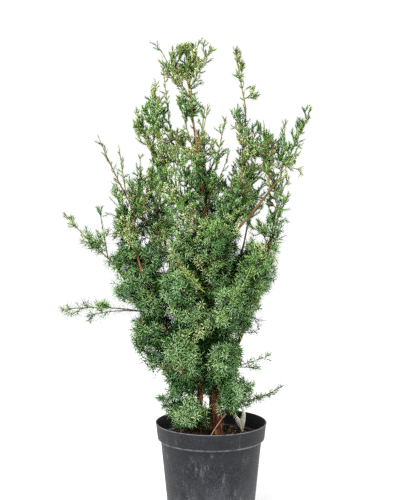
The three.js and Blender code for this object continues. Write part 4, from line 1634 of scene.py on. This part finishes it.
    def _fingers(self) -> Twigs:
        """The shoots of slim tufts, which are leafiest close to their own line."""
        slim = np.array([plan.reach <= self.finger_reach and not plan.clad for plan in TUFTS])
        return self.shoots.picked(slim[self.shoots.tuft])

    def _spurs(self, parents: Twigs, order: Order) -> Twigs:
        """Short leafy spurs on limbs or sprigs, which need no tuft's room.

        Args:
            parents: What they leave.
            order: Their sizes.

        Returns:
            The spurs.
        """
        youth = youth_at(parents.tip[:, 2])
        which, share, number = self._spaced(parents, blend(*order.step, youth) * MM, self.last)
        turn = order.turn * number + self.random.normal(0, order.turn_vary, len(which))
        lean = blend(*order.lean, youth[which]) + self.random.normal(0, order.lean_vary, len(which))
        roots, headings = parents.leaving(which, share, turn, lean)
        headings = unit(headings + blend(*order.lift, youth[which])[:, None] * UP)
        size = blend(*order.length, youth[which]) * MM * self.random.uniform(*self.spur_vary, len(which))
        tips = roots + headings * size[:, None]
        pulls = (roots + tips) / 2 - self.spur_sag * size[:, None] * UP
        radius, bare = np.full(len(roots), order.radius * MM), np.full(len(roots), self.spur_bare)
        spurs = Twigs(roots, pulls, tips, radius, self.space.owner(tips), bare)
        return spurs.picked(~self.space.in_opening(tips) & (tips[:, 0] > self.space.left_end))

    def _fillers(self) -> list[Twigs]:
        """Branchlets that reach into what is still empty inside each dense tuft.

        Returns:
            The branchlets of each such tuft.
        """
        standing = Twigs.joined([self.shoots, self.sides, self.branchlets])
        full = [(number, plan) for number, plan in enumerate(TUFTS)
                if plan.dense and plan.slim * plan.reach > FILL.over]
        return [self._fill(number, plan, standing.picked(standing.tuft == number)) for number, plan in full]

    def _fill(self, tuft: int, plan: TuftPlan, standing: Twigs) -> Twigs:
        """The fillers of one tuft.

        Args:
            tuft: The tuft's number.
            plan: Its row in the table.
            standing: The twigs that it has.

        Returns:
            The new branchlets.
        """
        draw, tries = self.random, FILL.tries
        shoots = self.shoots.picked(self.shoots.tuft == tuft)
        power, last = FILL.along
        middle = shoots.point(draw.integers(len(shoots), size=tries), draw.random(tries) ** power * last)
        off = unit(draw.normal(size=(tries, 3)))
        off = off * (plan.reach * MM * FILL.reach * draw.random((tries, 1)) ** FILL.out)
        places = (middle + off)[self.space.allows(tuft, middle + off)]
        gap = blend(*FILL.gap, youth_at(places[:, 2]))
        return self._reaching(places, standing, gap, np.full(len(places), tuft))

    def _reaching(self, places: Array, standing: Twigs, gap: Array, tufts: Array) -> Twigs:
        """Branchlets that reach from standing twigs to places that are still empty.

        Args:
            places: The places.
            standing: The twigs.
            gap: How far the nearest twig must be from each place.
            tufts: The tuft of each place.

        Returns:
            The new branchlets.
        """
        which = np.repeat(np.arange(len(standing)), len(FILL.knots))
        share = np.tile(FILL.knots, len(standing))
        knots, along = standing.point(which, share), standing.along(which, share)
        off = places[:, None] - knots[None]
        far = np.linalg.norm(off, axis=2)
        turned = np.einsum("nmk,mk->nm", off, along) / np.maximum(far, TINY)
        nearest = np.argmin(far * (FILL.backward - turned), axis=1)
        keep = (far.min(axis=1) > gap) & (far[np.arange(len(places)), nearest] < FILL.longest)
        places, roots, gap, tufts = places[keep], knots[nearest[keep]], gap[keep], tufts[keep]
        cells = np.floor(places / (FILL.cell * gap)[:, None]).astype(int)
        first = np.sort(np.unique(cells, axis=0, return_index=True)[1])
        places, roots, tufts = places[first], roots[first], tufts[first]
        count = len(places)
        size = np.linalg.norm(places - roots, axis=1)[:, None]
        pulls = (places + roots) / 2 + self.random.normal(0, FILL.sway, (count, 3)) * size
        radius, bare = np.full(count, BRANCHLETS.radius * MM), np.full(count, self.twig_bare)
        return Twigs(roots, pulls, places, radius, tufts, bare)

    def _sprays(self) -> Twigs:
        """Branchlets to the places where foliage closes the view.

        Returns:
            The branchlets.
        """
        draw, tries, sets = self.random, self.spray_tries, []
        standing = Twigs.joined([self.shoots, self.sides, self.branchlets])
        for spray in SPRAYS:
            turn, level = draw.uniform(0, FULL_TURN, tries), np.sqrt(draw.random(tries))
            flat = np.stack([spray.x + spray.across * level * np.cos(turn), np.zeros(tries),
                             spray.z + spray.up * level * np.sin(turn)], axis=1) * MM
            deep = (spray.depth + draw.normal(0, self.spray_deep, (tries, 1))) * MM
            places = self.space.seen_at(flat, deep)
            tufts = self.space.owner(places)
            fits = np.zeros(len(places), bool)
            for tuft in np.unique(tufts):
                rows = np.flatnonzero(tufts == tuft)
                fits[rows] = self.space.allows(tuft, places[rows])
            gap = np.full(fits.sum(), self.spray_gap)
            sets.append(self._reaching(places[fits], standing, gap, tufts[fits]))
        return Twigs.joined(sets)

    def grow(self) -> None:
        """Grows all twigs."""
        self.sides = Twigs.joined([self._side_twigs(), self._limb_twigs()])
        self.sprigs = self._sprigs()
        clad = np.array([plan.clad for plan in TUFTS])
        full = self.sides.picked(~clad[self.sides.tuft])
        self.branchlets = self._finer(BRANCHLETS, full)
        for _ in range(FILL.rounds):
            self.branchlets = Twigs.joined([self.branchlets, *self._fillers()])
        self.branchlets = Twigs.joined([self.branchlets, self._sprays()])
        sets = [self._finer(TWIGLETS, self.branchlets), self._finer(TWIGLETS, self.sides, self.on_sides),
                self._finer(TWIGLETS, self.shoots, self.on_shoots),
                self._spurs(self._parts([limb.plan.spurs for limb in self.limbs.values()]), SPURS),
                self._spurs(self._fingers(), FINGERS), self._spurs(self.sprigs, SPRIG_SPURS)]
        self.twiglets = Twigs.joined(sets)
        self.canopy = Canopy(self.twiglets.tip)
        self.twiglets = self.twiglets.picked(~self._in_pocket(self.twiglets.tip))
        log.info("twigs: %d shoots, %d sides, %d branchlets, %d twiglets",
                 len(self.shoots), len(self.sides), len(self.branchlets), len(self.twiglets))

    def _in_pocket(self, places: Array) -> Array:
        """Whether places lie in the hollows between the outer sprays."""
        hollow = noise_at(places, self.pockets_per_metre)
        return (hollow < self.pocket_under) & (self.canopy.depth(places) < self.pocket_depth)

    def _tints(self, twigs: Twigs) -> Array:
        """Deals a tint to each twig, by height and in drifts, with the shade's deep inside the crown.

        Args:
            twigs: The twigs that carry needles.

        Returns:
            The tint's number for each twig.
        """
        heights = np.array([deal.height for deal in DEALS])
        shares = np.array([deal.shares for deal in DEALS])
        at = np.stack([np.interp(twigs.tip[:, 2], heights, column) for column in shares.T], axis=1)
        drift = DEALING.drift_spread * noise_at(twigs.tip, DEALING.drifts_per_metre)
        draw = np.clip(0.5 + drift + self.random.normal(0, DEALING.drift_vary, len(twigs)), 0.0, 0.999)
        live = np.cumsum(at[:, :-1], axis=1)
        tint = 1 + (draw[:, None] * live[:, -1:] > live).sum(axis=1)
        # Painted shade: twigs deep in the crown take the shade's tint.
        buried = ease(self.canopy.depth(twigs.tip), DEALING.shaded_from, 1.0)
        chance = buried * blend(*DEALING.shaded, youth_at(twigs.tip[:, 2]))
        chance *= blend(DEALING.shaded_at_foot, 1.0, ease(twigs.tip[:, 2], *DEALING.foot_heights))
        shaded = self.random.random(len(twigs)) < chance
        patch = noise_at(twigs.root, DEALING.dry_per_metre, DEALING.dry_shift)
        dry = (patch > DEALING.dry_over) & (self.random.random(len(twigs)) < at[:, -1] * DEALING.dry_often)
        return np.where(dry, len(Tint) - 1, np.where(shaded, 0, tint))

    def _needles(self, twigs: Twigs, sparse: float) -> tuple[Array, Array]:
        """The needles of twigs, in whorls.

        Args:
            twigs: The twigs.
            sparse: How far apart the whorls are, against the habit's own step.

        Returns:
            Four corners for each needle, and the number of its twig.
        """
        plan, draw = NEEDLES, self.random
        steps = blend(*plan.whorl_step, youth_at(twigs.tip[:, 2])) * MM * sparse
        which, share, number = self._spaced(twigs, steps, self.needle_last)
        which, share, number = (np.repeat(column, plan.each) for column in (which, share, number))
        count = len(which)
        order = np.tile(np.arange(plan.each), count // plan.each)
        share = np.clip(share + draw.normal(0, plan.share_vary, count), 0, 1)
        youth = youth_at(twigs.tip[which, 2])
        turn = FULL_TURN * (order + 0.5 * number) / plan.each + draw.normal(0, plan.turn_vary, count)
        closed = 1 - plan.closed_at_tip * ease(share, plan.closed_from, 1.0)
        lean = blend(*plan.lean, youth) * closed + draw.normal(0, plan.lean_vary, count)
        size = blend(*plan.length, youth) * MM * (1 - plan.shorter_at_tip * share)
        size = size * draw.uniform(*plan.length_vary, count)
        root, heading = twigs.leaving(which, share, turn, lean)
        side = unit(np.cross(heading, twigs.along(which, share)))
        upper = np.cross(side, heading)
        wide = blend(*plan.width, youth) * (1 + plan.wider_inside * self.canopy.depth(twigs.tip)[which])
        half = wide[:, None] * MM / 2
        tip = root + heading * size[:, None]
        rise = upper * plan.thickness / 2 * MM
        corners = np.stack([
            root - side * half + rise, root + side * half - rise,
            tip + side * half * plan.tip_width + rise, tip - side * half * plan.tip_width - rise,
        ], axis=1)
        return corners, which

    def dress_needles(self) -> None:
        """Builds the needles, one piece or more for each tint."""
        sets = (self.twiglets, self.branchlets, self.sides, self.shoots, self.sprigs)
        gathered = [(twigs, *self._needles(twigs, apart)) for twigs, apart in zip(sets, self.needles_apart)]
        tints = np.concatenate([self._tints(twigs)[which] for twigs, _, which in gathered])
        tufts = np.concatenate([twigs.tuft[which] for twigs, _, which in gathered])
        corners = np.concatenate([corners for _, corners, _ in gathered])
        for number, tint in enumerate(Tint):
            rows = np.flatnonzero(tints == number)
            rows = rows[np.argsort(tufts[rows], kind="stable")]
            self._needle_pieces(tint, corners[rows], tufts[rows])

    def _needle_pieces(self, tint: Tint, corners: Array, tufts: Array) -> None:
        """Builds the needles of one tint as pieces under the limit.

        Args:
            tint: The tint.
            corners: The needles' corners.
            tufts: The tuft of each needle.
        """
        green, bloom = tint.value
        word = tint.name.lower()
        skins = [NeedleSkin(f"needle_{word}", green, self.green_wax).build(),
                 NeedleSkin(f"bloom_{word}", bloom, self.bloom_wax).build()]
        per_piece = PIECE_LIMIT // len(self.NEEDLE_FACES)
        parts = max(1, math.ceil(len(corners) / per_piece))
        for part, rows in enumerate(np.array_split(np.arange(len(corners)), parts), 1):
            arrays = MeshArrays()
            faces = self.NEEDLE_FACES[None] + (4 * np.arange(len(rows)))[:, None, None]
            slots = np.tile(self.NEEDLE_SLOTS, len(rows))
            arrays.add(corners[rows].reshape(-1, 3), faces.reshape(-1, 3), slots)
            piece = arrays.build(f"needles_{word}_{part}", skins)
            settle(piece, "foliage", *(TUFTS[number].name for number in np.unique(tufts[rows])))

    def dress_twigs(self) -> None:
        """Builds the twigs, one piece for each colour of young bark."""
        high = self.sides.root[:, 2] > self.straw_height
        shoots_high = self.shoots.root[:, 2] > self.straw_height
        side, shoot = (3, 4, 0.55), (10, 5, 0.45)
        pieces = {
            "twiglets_green": (TwigBark("twiglet_skin", 0x465A26, 0x666632),
                               [(self.twiglets, (1, 3, 0.7)), (self.branchlets, (3, 3, 0.6))]),
            "sprigs": (TwigBark("sprig_skin", 0x7E8A34, 0x9C9A48), [(self.sprigs, (14, 5, 0.5))]),
            "twigs_straw": (TwigBark("straw_skin", 0x6E6232, 0x7C5A34),
                            [(self.sides.picked(high), side), (self.shoots.picked(shoots_high), shoot)]),
            "twigs_brown": (TwigBark("brown_skin", 0x463422, 0x5E442C),
                            [(self.sides.picked(~high), side), (self.shoots.picked(~shoots_high), shoot)]),
        }
        for name, (finish, sets) in pieces.items():
            arrays = MeshArrays()
            for twigs, build in sets:
                arrays.add(*rods(twigs, *build))
            piece = arrays.build(name, [finish.build()])
            settle(piece, "foliage", *(plan.name for plan in TUFTS if name == "twiglets_green"))


@dataclass
class LimbSkins:
    """The skins of stems and boughs, with ridged, peeling bark."""

    limbs: dict[str, Limb]
    ring_step: float = 3.2 * MM
    stem_sides: int = 22
    bough_sides: int = 14
    relief: float = 0.085
    fibre_cells: Pair = (2.3, 42.0)
    strip_cells: float = 0.45
    strip_shift: Place = (9, 2, 4)
    fibre_share: float = 1.4
    strip_share: float = 1.1
    relief_mean: float = 0.35
    grain_squeeze: float = 0.14
    mean_at: float = 0.3
    sunk: float = 2.5 * MM
    seam: float = 1e-7
    old: Bark = Bark("bark_old", 0x1C100A, 0x633A27, 0xA87C5C)
    young: Bark = Bark("bark_young", 0x40301E, 0x604A30, 0x826A48)
    stem_names: tuple[str, ...] = ("main_stem", "front_stem", "back_stem", "left_stem", "right_stem")
    peeling: tuple[int, ...] = (90, 80, 50, 40)
    peel_from: Pair = (0.01, 0.55)
    peel_to_foot: float = 1.3
    peel_length: Pair = (8.0, 30.0)
    peel_rooted: float = 0.98
    peel_lift: float = 0.07
    peel_curl: float = 0.1
    peel_sway: float = 0.05
    peel_radius: Pair = (0.25, 0.6)
    seed: int = 77

    def build(self) -> None:
        """Builds each limb's skin and the strips that peel from the stems."""
        old, young = self.old.build(), self.young.build()
        for name, limb in self.limbs.items():
            sides, bark = (self.stem_sides, old) if name in self.stem_names else (self.bough_sides, young)
            settle(self._skin(limb, sides, bark), "bark", name)
        self._strips(old)

    def _ridges(self, limb: Limb, turn: Array, share: Array) -> Array:
        """How far the bark stands out, as a share of the radius.

        Args:
            limb: The limb.
            turn: The angle round it.
            share: The share of its length.

        Returns:
            A value for each point.
        """
        wide, long = self.fibre_cells
        around = np.stack([np.cos(turn) * wide, np.sin(turn) * wide, share * limb.length * long], axis=1)
        fibres = self.fibre_share * np.abs(noise_at(around, 1.0))
        strips = self.strip_share * noise_at(around, self.strip_cells, self.strip_shift)
        return self.relief * (fibres + strips - self.relief_mean)

    def _skin(self, limb: Limb, sides: int, bark: bpy.types.Material) -> bpy.types.Object:
        """One limb as a closed tube of its own shape.

        Args:
            limb: The limb.
            sides: How many faces go round it.
            bark: Its material.

        Returns:
            The object.
        """
        rings = max(8, round(limb.length / self.ring_step))
        made = bmesh.new()
        bmesh.ops.create_grid(made, x_segments=rings, y_segments=sides, size=0.5)
        flat = np.array([vert.co[:2] for vert in made.verts])
        share, round_share = (flat - flat.min(axis=0)).T / np.ptp(flat, axis=0)[:, None]
        turn = FULL_TURN * round_share
        radius = limb.radius(share) * (1 + self._ridges(limb, turn, share))
        middle, _, out = limb.around(share, turn)
        places = middle + radius[:, None] * out
        if not limb.plan.on:
            places[share < TINY, 2] = limb.curve.root[0, 2] - self.sunk
        grain = made.verts.layers.float_vector.new("grain")
        mean = limb.radius(self.mean_at)
        for vert, place, angle, walked in zip(made.verts, places, turn, share * limb.length):
            vert.co = place
            vert[grain] = (math.cos(angle) * mean, math.sin(angle) * mean, walked * self.grain_squeeze)
        bmesh.ops.remove_doubles(made, verts=made.verts, dist=self.seam)
        bmesh.ops.holes_fill(made, edges=[edge for edge in made.edges if edge.is_boundary], sides=0)
        bmesh.ops.recalc_face_normals(made, faces=made.faces)
        return solid(made, f"{limb.plan.name}_bark", bark)

    def _strips(self, bark: bpy.types.Material) -> None:
        """Builds the loose fibres of bark that lift from the stems.

        Args:
            bark: Their material.
        """
        random = np.random.default_rng(self.seed)
        sets = []
        for name, count in zip(self.stem_names, self.peeling):
            limb = self.limbs[name]
            share = random.uniform(*self.peel_from, count) ** self.peel_to_foot
            middle, along, out = limb.around(share, random.uniform(0, FULL_TURN, count))
            root = middle + out * (limb.radius(share) * self.peel_rooted)[:, None]
            length = random.uniform(*self.peel_length, count)[:, None] * MM
            lifted = random.uniform(0.0, self.peel_lift, count)[:, None] * length
            sway = np.cross(along, out) * random.normal(0, self.peel_sway, count)[:, None] * length
            tip = root + along * length + out * lifted + sway
            pull = root + along * length / 2 + out * lifted * self.peel_curl
            radius = random.uniform(*self.peel_radius, count) * MM
            sets.append(Twigs(root, pull, tip, radius, np.zeros(count, int), np.zeros(count)))
        places, faces = rods(Twigs.joined(sets), rings=3, sides=3, tip_share=0.8)
        arrays = MeshArrays()
        arrays.add(places, faces, grains=places * np.array((1, 1, self.grain_squeeze)))
        settle(arrays.build("bark_strips", [bark]), "bark")


@dataclass
class NurseryPot:
    """A round tapered pot under a deep collar, open at the top, with drain holes."""

    height: float = 200 * MM
    lip: float = 115 * MM
    collar_foot: float = 110.5 * MM
    shoulder: float = 104 * MM
    foot: float = 87 * MM
    collar: float = 33 * MM
    step: float = 4.5 * MM
    wall: float = 2.4 * MM
    rim_roll: float = 1.6 * MM
    rounding: float = 0.9 * MM
    sides: int = 120
    drains: int = 6
    drain_ring: float = 58 * MM
    drain_radius: float = 6 * MM
    drain_sides: int = 28
    drill_length: float = 30 * MM
    underside_rise: float = 1.6 * MM
    sharp_over: float = math.radians(40)
    plastic: PotPlastic = PotPlastic()

    def _outline(self) -> list[tuple[float, float]]:
        """The wall's section, from the underside's middle round to the floor's.

        Returns:
            The distance from the axis and the height of each corner.
        """
        ledge, rise, wall = self.height - self.collar, self.underside_rise, self.wall
        return [
            (0.0, rise), (self.foot - 9 * MM, rise), (self.foot - 7 * MM, 0.0), (self.foot - 1 * MM, 0.0),
            (self.foot, 1 * MM), (self.shoulder, ledge - self.step),
            (self.collar_foot - 1.2 * MM, ledge - 0.6 * MM), (self.collar_foot, ledge + 0.4 * MM),
            (self.lip - self.rim_roll * 0.6, self.height - 2.4 * MM), (self.lip, self.height - 1.4 * MM),
            (self.lip, self.height), (self.lip - wall, self.height),
            (self.collar_foot - wall, ledge + 1 * MM), (self.shoulder - wall, ledge - self.step + 1 * MM),
            (self.foot - wall, wall + 1.5 * MM), (self.foot - wall - 4 * MM, wall + rise),
            (0.0, wall + rise),
        ]

    def _turned(self) -> bpy.types.Object:
        """Turns the pot's section round its axis.

        Returns:
            The pot without its drain holes.
        """
        made = line_of(self._outline())
        bmesh.ops.bevel(made, geom=list(made.verts)[1:-1], offset=self.rounding, offset_type="OFFSET",
                        segments=3, profile=0.5, affect="VERTICES", clamp_overlap=True, material=-1)
        spin_round(made, self.sides)
        bmesh.ops.recalc_face_normals(made, faces=made.faces)
        return solid(made, "whole_pot", smooth=False)

    def _drills(self) -> bpy.types.Object:
        """Sets drills where the drain holes go.

        Returns:
            The drills as one object.
        """
        made = bmesh.new()
        for number in range(self.drains):
            turn = FULL_TURN * (number + 0.5) / self.drains
            drill = bmesh.ops.create_cone(made, cap_ends=True, segments=self.drain_sides,
                                          radius1=self.drain_radius, radius2=self.drain_radius,
                                          depth=self.drill_length)
            shift = Vector((math.cos(turn), math.sin(turn), 0)) * self.drain_ring
            bmesh.ops.translate(made, verts=drill["verts"], vec=shift)
        return solid(made, "drills", smooth=False)

    def build(self) -> None:
        """Builds the pot and dresses it."""
        whole, drills = self._turned(), self._drills()
        cut = whole.modifiers.new("drains", "BOOLEAN")
        cut.operation, cut.solver, cut.object = "DIFFERENCE", "EXACT", drills
        mesh = bpy.data.meshes.new_from_object(whole.evaluated_get(bpy.context.evaluated_depsgraph_get()))
        for helper in (whole, drills):
            bpy.data.objects.remove(helper)
        mesh.materials.clear()
        mesh.materials.append(self.plastic.build())
        mesh.shade_smooth()
        mesh.set_sharp_from_angle(angle=self.sharp_over)
        settle(link("nursery_pot", mesh), "pot", "pot")


@dataclass
class Soil:
    """The potting mix, with crumbs, chips and straw on its surface."""

    pot: NurseryPot
    top: float
    sides: int = 150
    rings: int = 46
    lumps: float = 2.6 * MM
    lump_cells: Pair = (55.0, 190.0)
    flat_until: float = 0.9
    edge_drop: float = 4 * MM
    flat_rim: float = 2 * MM
    foot_in: float = 6 * MM
    gap: float = 0.4 * MM
    bare_rim: float = 5 * MM
    bumpy: Pair = (0.7, 1.2)
    tilted: float = 0.25
    crumbs: int = 1500
    chips: int = 240
    seed: int = 31

    def _wall_at(self, height: float) -> float:
        """The radius inside the pot's wall.

        Args:
            height: The height where it is taken.

        Returns:
            The radius, with the gap taken off.
        """
        pot = self.pot
        share = (height - pot.wall) / (pot.height - pot.collar - pot.step + 1 * MM - pot.wall)
        return blend(pot.foot, pot.shoulder, share) - pot.wall - self.gap

    def _body(self, mix: bpy.types.Material) -> bpy.types.Object:
        """Makes the mix as one closed body with a lumpy top.

        Args:
            mix: Its material.

        Returns:
            The object.
        """
        floor = self.pot.wall + self.pot.underside_rise + self.gap
        edge = self._wall_at(self.top - self.edge_drop)
        shares = np.linspace(0, 1, self.rings + 1)
        section = [(edge * s, self.top - self.edge_drop * ease(s, self.flat_until, 1.0)) for s in shares]
        made = line_of(section + [(self._wall_at(floor) - self.foot_in, floor), (0.0, floor)])
        spin_round(made, self.sides)
        coarse, fine = self.lump_cells
        low, level = self.top - self.edge_drop - TINY, edge - self.flat_rim
        for vert in made.verts:
            if vert.co.z > low and vert.co.xy.length < level:
                vert.co.z += self.lumps * (noise.noise(vert.co * coarse) + 0.5 * noise.noise(vert.co * fine))
        bmesh.ops.recalc_face_normals(made, faces=made.faces)
        return solid(made, "potting_mix", mix)

    def _scatter(
        self, name: str, count: int, sizes: tuple[Place, Place], sink: float, material: bpy.types.Material
    ) -> None:
        """Lays many small lumps on the soil, as one piece.

        Args:
            name: The piece's name.
            count: How many.
            sizes: The smallest and the largest half sizes.
            sink: How deep they lie, as a share of their height.
            material: Their material.
        """
        made = bmesh.new()
        bmesh.ops.create_icosphere(made, subdivisions=1, radius=1.0)
        shape = np.array([vert.co[:] for vert in made.verts])
        faces = np.array([[vert.index for vert in face.verts] for face in made.faces])
        made.free()
        random = np.random.default_rng(self.seed + count)
        edge = self._wall_at(self.top) - self.bare_rim
        level = edge * np.sqrt(random.random(count))
        turn = random.uniform(0, FULL_TURN, count)
        low, high = (np.array(size) * MM for size in sizes)
        half = blend(low, high, random.random((count, 1)) ** 2)
        bumps = random.uniform(*self.bumpy, (count, len(shape), 1))
        local = shape[None] * bumps * half[:, None]
        yaw = random.uniform(0, FULL_TURN, count)
        tilt = random.normal(0, self.tilted, (count, 1))
        x = local[..., 0] * np.cos(yaw)[:, None] - local[..., 1] * np.sin(yaw)[:, None]
        y = local[..., 0] * np.sin(yaw)[:, None] + local[..., 1] * np.cos(yaw)[:, None]
        z = local[..., 2] + local[..., 0] * tilt
        base = self.top - self.edge_drop * ease(level / edge, self.flat_until, 1.0)
        places = np.stack([x + (level * np.cos(turn))[:, None], y + (level * np.sin(turn))[:, None],
                           z + (base + half[:, 2] * (1 - 2 * sink))[:, None]], axis=-1)
        arrays = MeshArrays()
        all_faces = faces[None] + (np.arange(count) * len(shape))[:, None, None]
        arrays.add(places.reshape(-1, 3), all_faces.reshape(-1, 3))
        settle(arrays.build(name, [material]), "soil")

    def build(self) -> None:
        """Builds the soil and what lies on it."""
        mix = PottingMix().build()
        wood = Chips("bark_chips_wood", 0x4A2C1A, 0x8C6040).build()
        straw = Chips("straw_bits_wood", 0x8C7448, 0xC9B078).build()
        settle(self._body(mix), "soil", "soil")
        self._scatter("soil_crumbs", self.crumbs, ((0.7, 0.7, 0.5), (3.4, 2.8, 2.2)), 0.35, mix)
        self._scatter("bark_chips", self.chips, ((1.5, 0.8, 0.4), (6.5, 2.6, 1.1)), 0.2, wood)
        self._scatter("straw_bits", self.chips // 2, ((1.8, 0.3, 0.3), (8.0, 0.7, 0.5)), 0.2, straw)


@dataclass
class DryTwig:
    """A dead twig that leans out of the soil in front of the stems."""

    soil_top: float
    foot: Pair = (-6 * MM, -30 * MM)
    sunk: float = 2 * MM
    pull: Place = (12 * MM, -34 * MM, 203 * MM)
    tip: Place = (33 * MM, -30 * MM, 224 * MM)
    radius: float = 1.3 * MM
    fork_at: float = 0.7
    fork_thinner: float = 0.6
    fork_tip: Place = (28 * MM, -42 * MM, 226 * MM)

    def build(self) -> None:
        """Builds the twig and its fork as one piece."""
        root = np.array([(*self.foot, self.soil_top - self.sunk)])
        one, number = np.array([1.0]), np.array([0])
        stem = Twigs(root, np.array([self.pull]), np.array([self.tip]), one * self.radius, number, one)
        start = stem.point(number, one * self.fork_at)
        fork_tip = np.array([self.fork_tip])
        thin = one * self.radius * self.fork_thinner
        fork = Twigs(start, (start + fork_tip) / 2, fork_tip, thin, number, one)
        arrays = MeshArrays()
        arrays.add(*rods(Twigs.joined([stem, fork]), rings=8, sides=6, tip_share=0.5))
        skin = TwigBark("dry_twig_skin", 0x8A6C58, 0xA88A74).build()
        settle(arrays.build("dry_twig", [skin]), "bark")


@dataclass
class LoopLabel:
    """A plain plastic loop label, pinched at its foot, standing in the soil with a gentle curl."""

    foot: Place
    tip: Place = (54 * MM, 12 * MM, 236 * MM)
    width: float = 27 * MM
    strand: float = 6.5 * MM
    thickness: float = 0.7 * MM
    foot_inset: float = 3.2
    drop: Pair = (1.35, 0.8)
    curl: float = 3.0 * MM
    segments: int = 64

    def _half_width(self, share: Array) -> Array:
        """The outline's half width at a share of its height: a drop, widest high up."""
        high, full = self.drop
        return self.width / 2 * np.sin(np.pi * share ** high) ** full

    def _ring(self, made: bmesh.types.BMesh, inset: float, length: float) -> list[bmesh.types.BMEdge]:
        """One loop of the label's outline.

        Args:
            made: Where it is made.
            inset: How far inside the outer outline it lies.
            length: The label's length.

        Returns:
            The loop's edges.
        """
        ring = bmesh.ops.create_circle(made, cap_ends=False, radius=1.0, segments=self.segments)["verts"]
        for vert in ring:
            share = (1 + vert.co.y) / 2
            height = blend(inset * self.foot_inset, length - inset, share)
            half = max(float(self._half_width(np.array(share))) - inset, 0.0)
            vert.co = (math.copysign(half, vert.co.x) if abs(vert.co.x) > JOIN else 0.0, 0.0, height)
        return list({edge for vert in ring for edge in vert.link_edges})

    def build(self) -> None:
        """Builds the label and dresses it."""
        foot, tip = Vector(self.foot), Vector(self.tip)
        length = (tip - foot).length
        made = bmesh.new()
        edges = self._ring(made, 0.0, length) + self._ring(made, self.strand, length)
        bmesh.ops.bridge_loops(made, edges=edges)
        bmesh.ops.subdivide_edges(made, edges=list(made.edges), cuts=1, use_grid_fill=True)
        for vert in made.verts:
            across = vert.co.x / (self.width / 2)
            vert.co.y += self.curl * (across * across - 0.5) + 2 * self.curl * (vert.co.z / length) ** 2
        bmesh.ops.recalc_face_normals(made, faces=made.faces)
        bmesh.ops.solidify(made, geom=list(made.faces), thickness=self.thickness)
        bmesh.ops.recalc_face_normals(made, faces=made.faces)
        bmesh.ops.rotate(made, verts=made.verts, cent=(0, 0, 0),
                         matrix=Vector((0, 0, 1)).rotation_difference(tip - foot).to_matrix().to_3x3())
        bmesh.ops.translate(made, verts=made.verts, vec=foot)
        settle(solid(made, "loop_label", LabelCard().build()), "label", "label")


@dataclass
class Studio:
    """Pale floor, soft light and the camera."""

    camera_place: Place = (-0.0228, -1.48, 0.555)
    picture_pixels: int = 500
    focal_pixels: float = 713.0
    sensor: float = 36.0
    floor_size: float = 8.0
    world_strength: float = 1.02
    pixel_blur: float = 1.45

    def _lamp(self, name: str, place: Place, target: Place, size: float, power: float) -> None:
        """One soft square light.

        Args:
            name: Its name.
            place: Where it hangs.
            target: What it faces.
            size: The length of its side.
            power: Its power in watts.
        """
        light = bpy.data.lights.new(name, "AREA")
        light.size, light.energy = size, power
        lamp = bpy.data.objects.new(name, light)
        lamp.location = place
        lamp.rotation_euler = (Vector(target) - Vector(place)).to_track_quat("-Z", "Y").to_euler()
        bpy.context.scene.collection.objects.link(lamp)

    def _world(self) -> None:
        """A white room all round."""
        world = bpy.data.worlds.new("white_room")
        world.use_nodes = True
        inputs = world.node_tree.nodes["Background"].inputs
        inputs["Color"].default_value = (1.0, 1.0, 1.0, 1.0)
        inputs["Strength"].default_value = self.world_strength
        bpy.context.scene.world = world

    def _floor(self) -> None:
        """The floor under the pot."""
        made = bmesh.new()
        bmesh.ops.create_grid(made, x_segments=8, y_segments=8, size=self.floor_size / 2)
        solid(made, "floor", StudioPaper().build(), smooth=False)

    def _camera(self) -> None:
        """The camera at the photograph's viewpoint, looking level along +Y."""
        lens = bpy.data.cameras.new("camera")
        lens.sensor_width = self.sensor
        lens.lens = self.focal_pixels / self.picture_pixels * self.sensor
        camera = bpy.data.objects.new("camera", lens)
        camera.location = self.camera_place
        camera.rotation_euler = (math.pi / 2, 0.0, 0.0)
        bpy.context.scene.collection.objects.link(camera)
        bpy.context.scene.camera = camera

    def build(self) -> None:
        """Sets the room up."""
        self._camera()
        self._world()
        self._floor()
        self._lamp("key", (-0.9, -2.0, 1.9), (0.0, 0.0, 0.55), 0.8, 120.0)
        self._lamp("fill", (1.6, -1.2, 1.0), (0.0, 0.0, 0.5), 1.4, 16.0)
        bpy.context.scene.cycles.filter_width = self.pixel_blur
        bpy.context.scene.cycles.use_denoising = False
        view = bpy.context.scene.view_settings
        view.view_transform, view.look = "Standard", "None"


def lay_out_limbs(soil_top: float) -> dict[str, Limb]:
    """Lays the limbs out, each after its parent.

    Args:
        soil_top: The height where stems start.

    Returns:
        The limbs by name.
    """
    limbs: dict[str, Limb] = {}
    for plan in LIMBS:
        limbs[plan.name] = Limb(plan, limbs.get(plan.on), soil_top)
    return limbs


def main() -> None:
    """Builds the studio, the pot and the plant in order."""
    logging.basicConfig(level=logging.INFO, format="%(name)s %(message)s")
    Studio().build()
    pot = NurseryPot()
    pot.build()
    soil_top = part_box("soil")[1].z
    Soil(pot, soil_top).build()
    limbs = lay_out_limbs(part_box("main_stem")[0].z)
    LimbSkins(limbs).build()
    DryTwig(soil_top).build()
    label = LoopLabel(foot=(*LABEL_SPOT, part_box("label")[0].z))
    label.build()
    foliage = Foliage(limbs, {
        "pot_top": pot.height,
        "soil_top": soil_top,
        "pot_inner": pot.shoulder - 6 * MM,
        "label_line": (np.array(label.foot), np.array(label.tip)),
    })
    foliage.grow()
    foliage.dress_twigs()
    foliage.dress_needles()


if __name__ == "__main__":
    main()
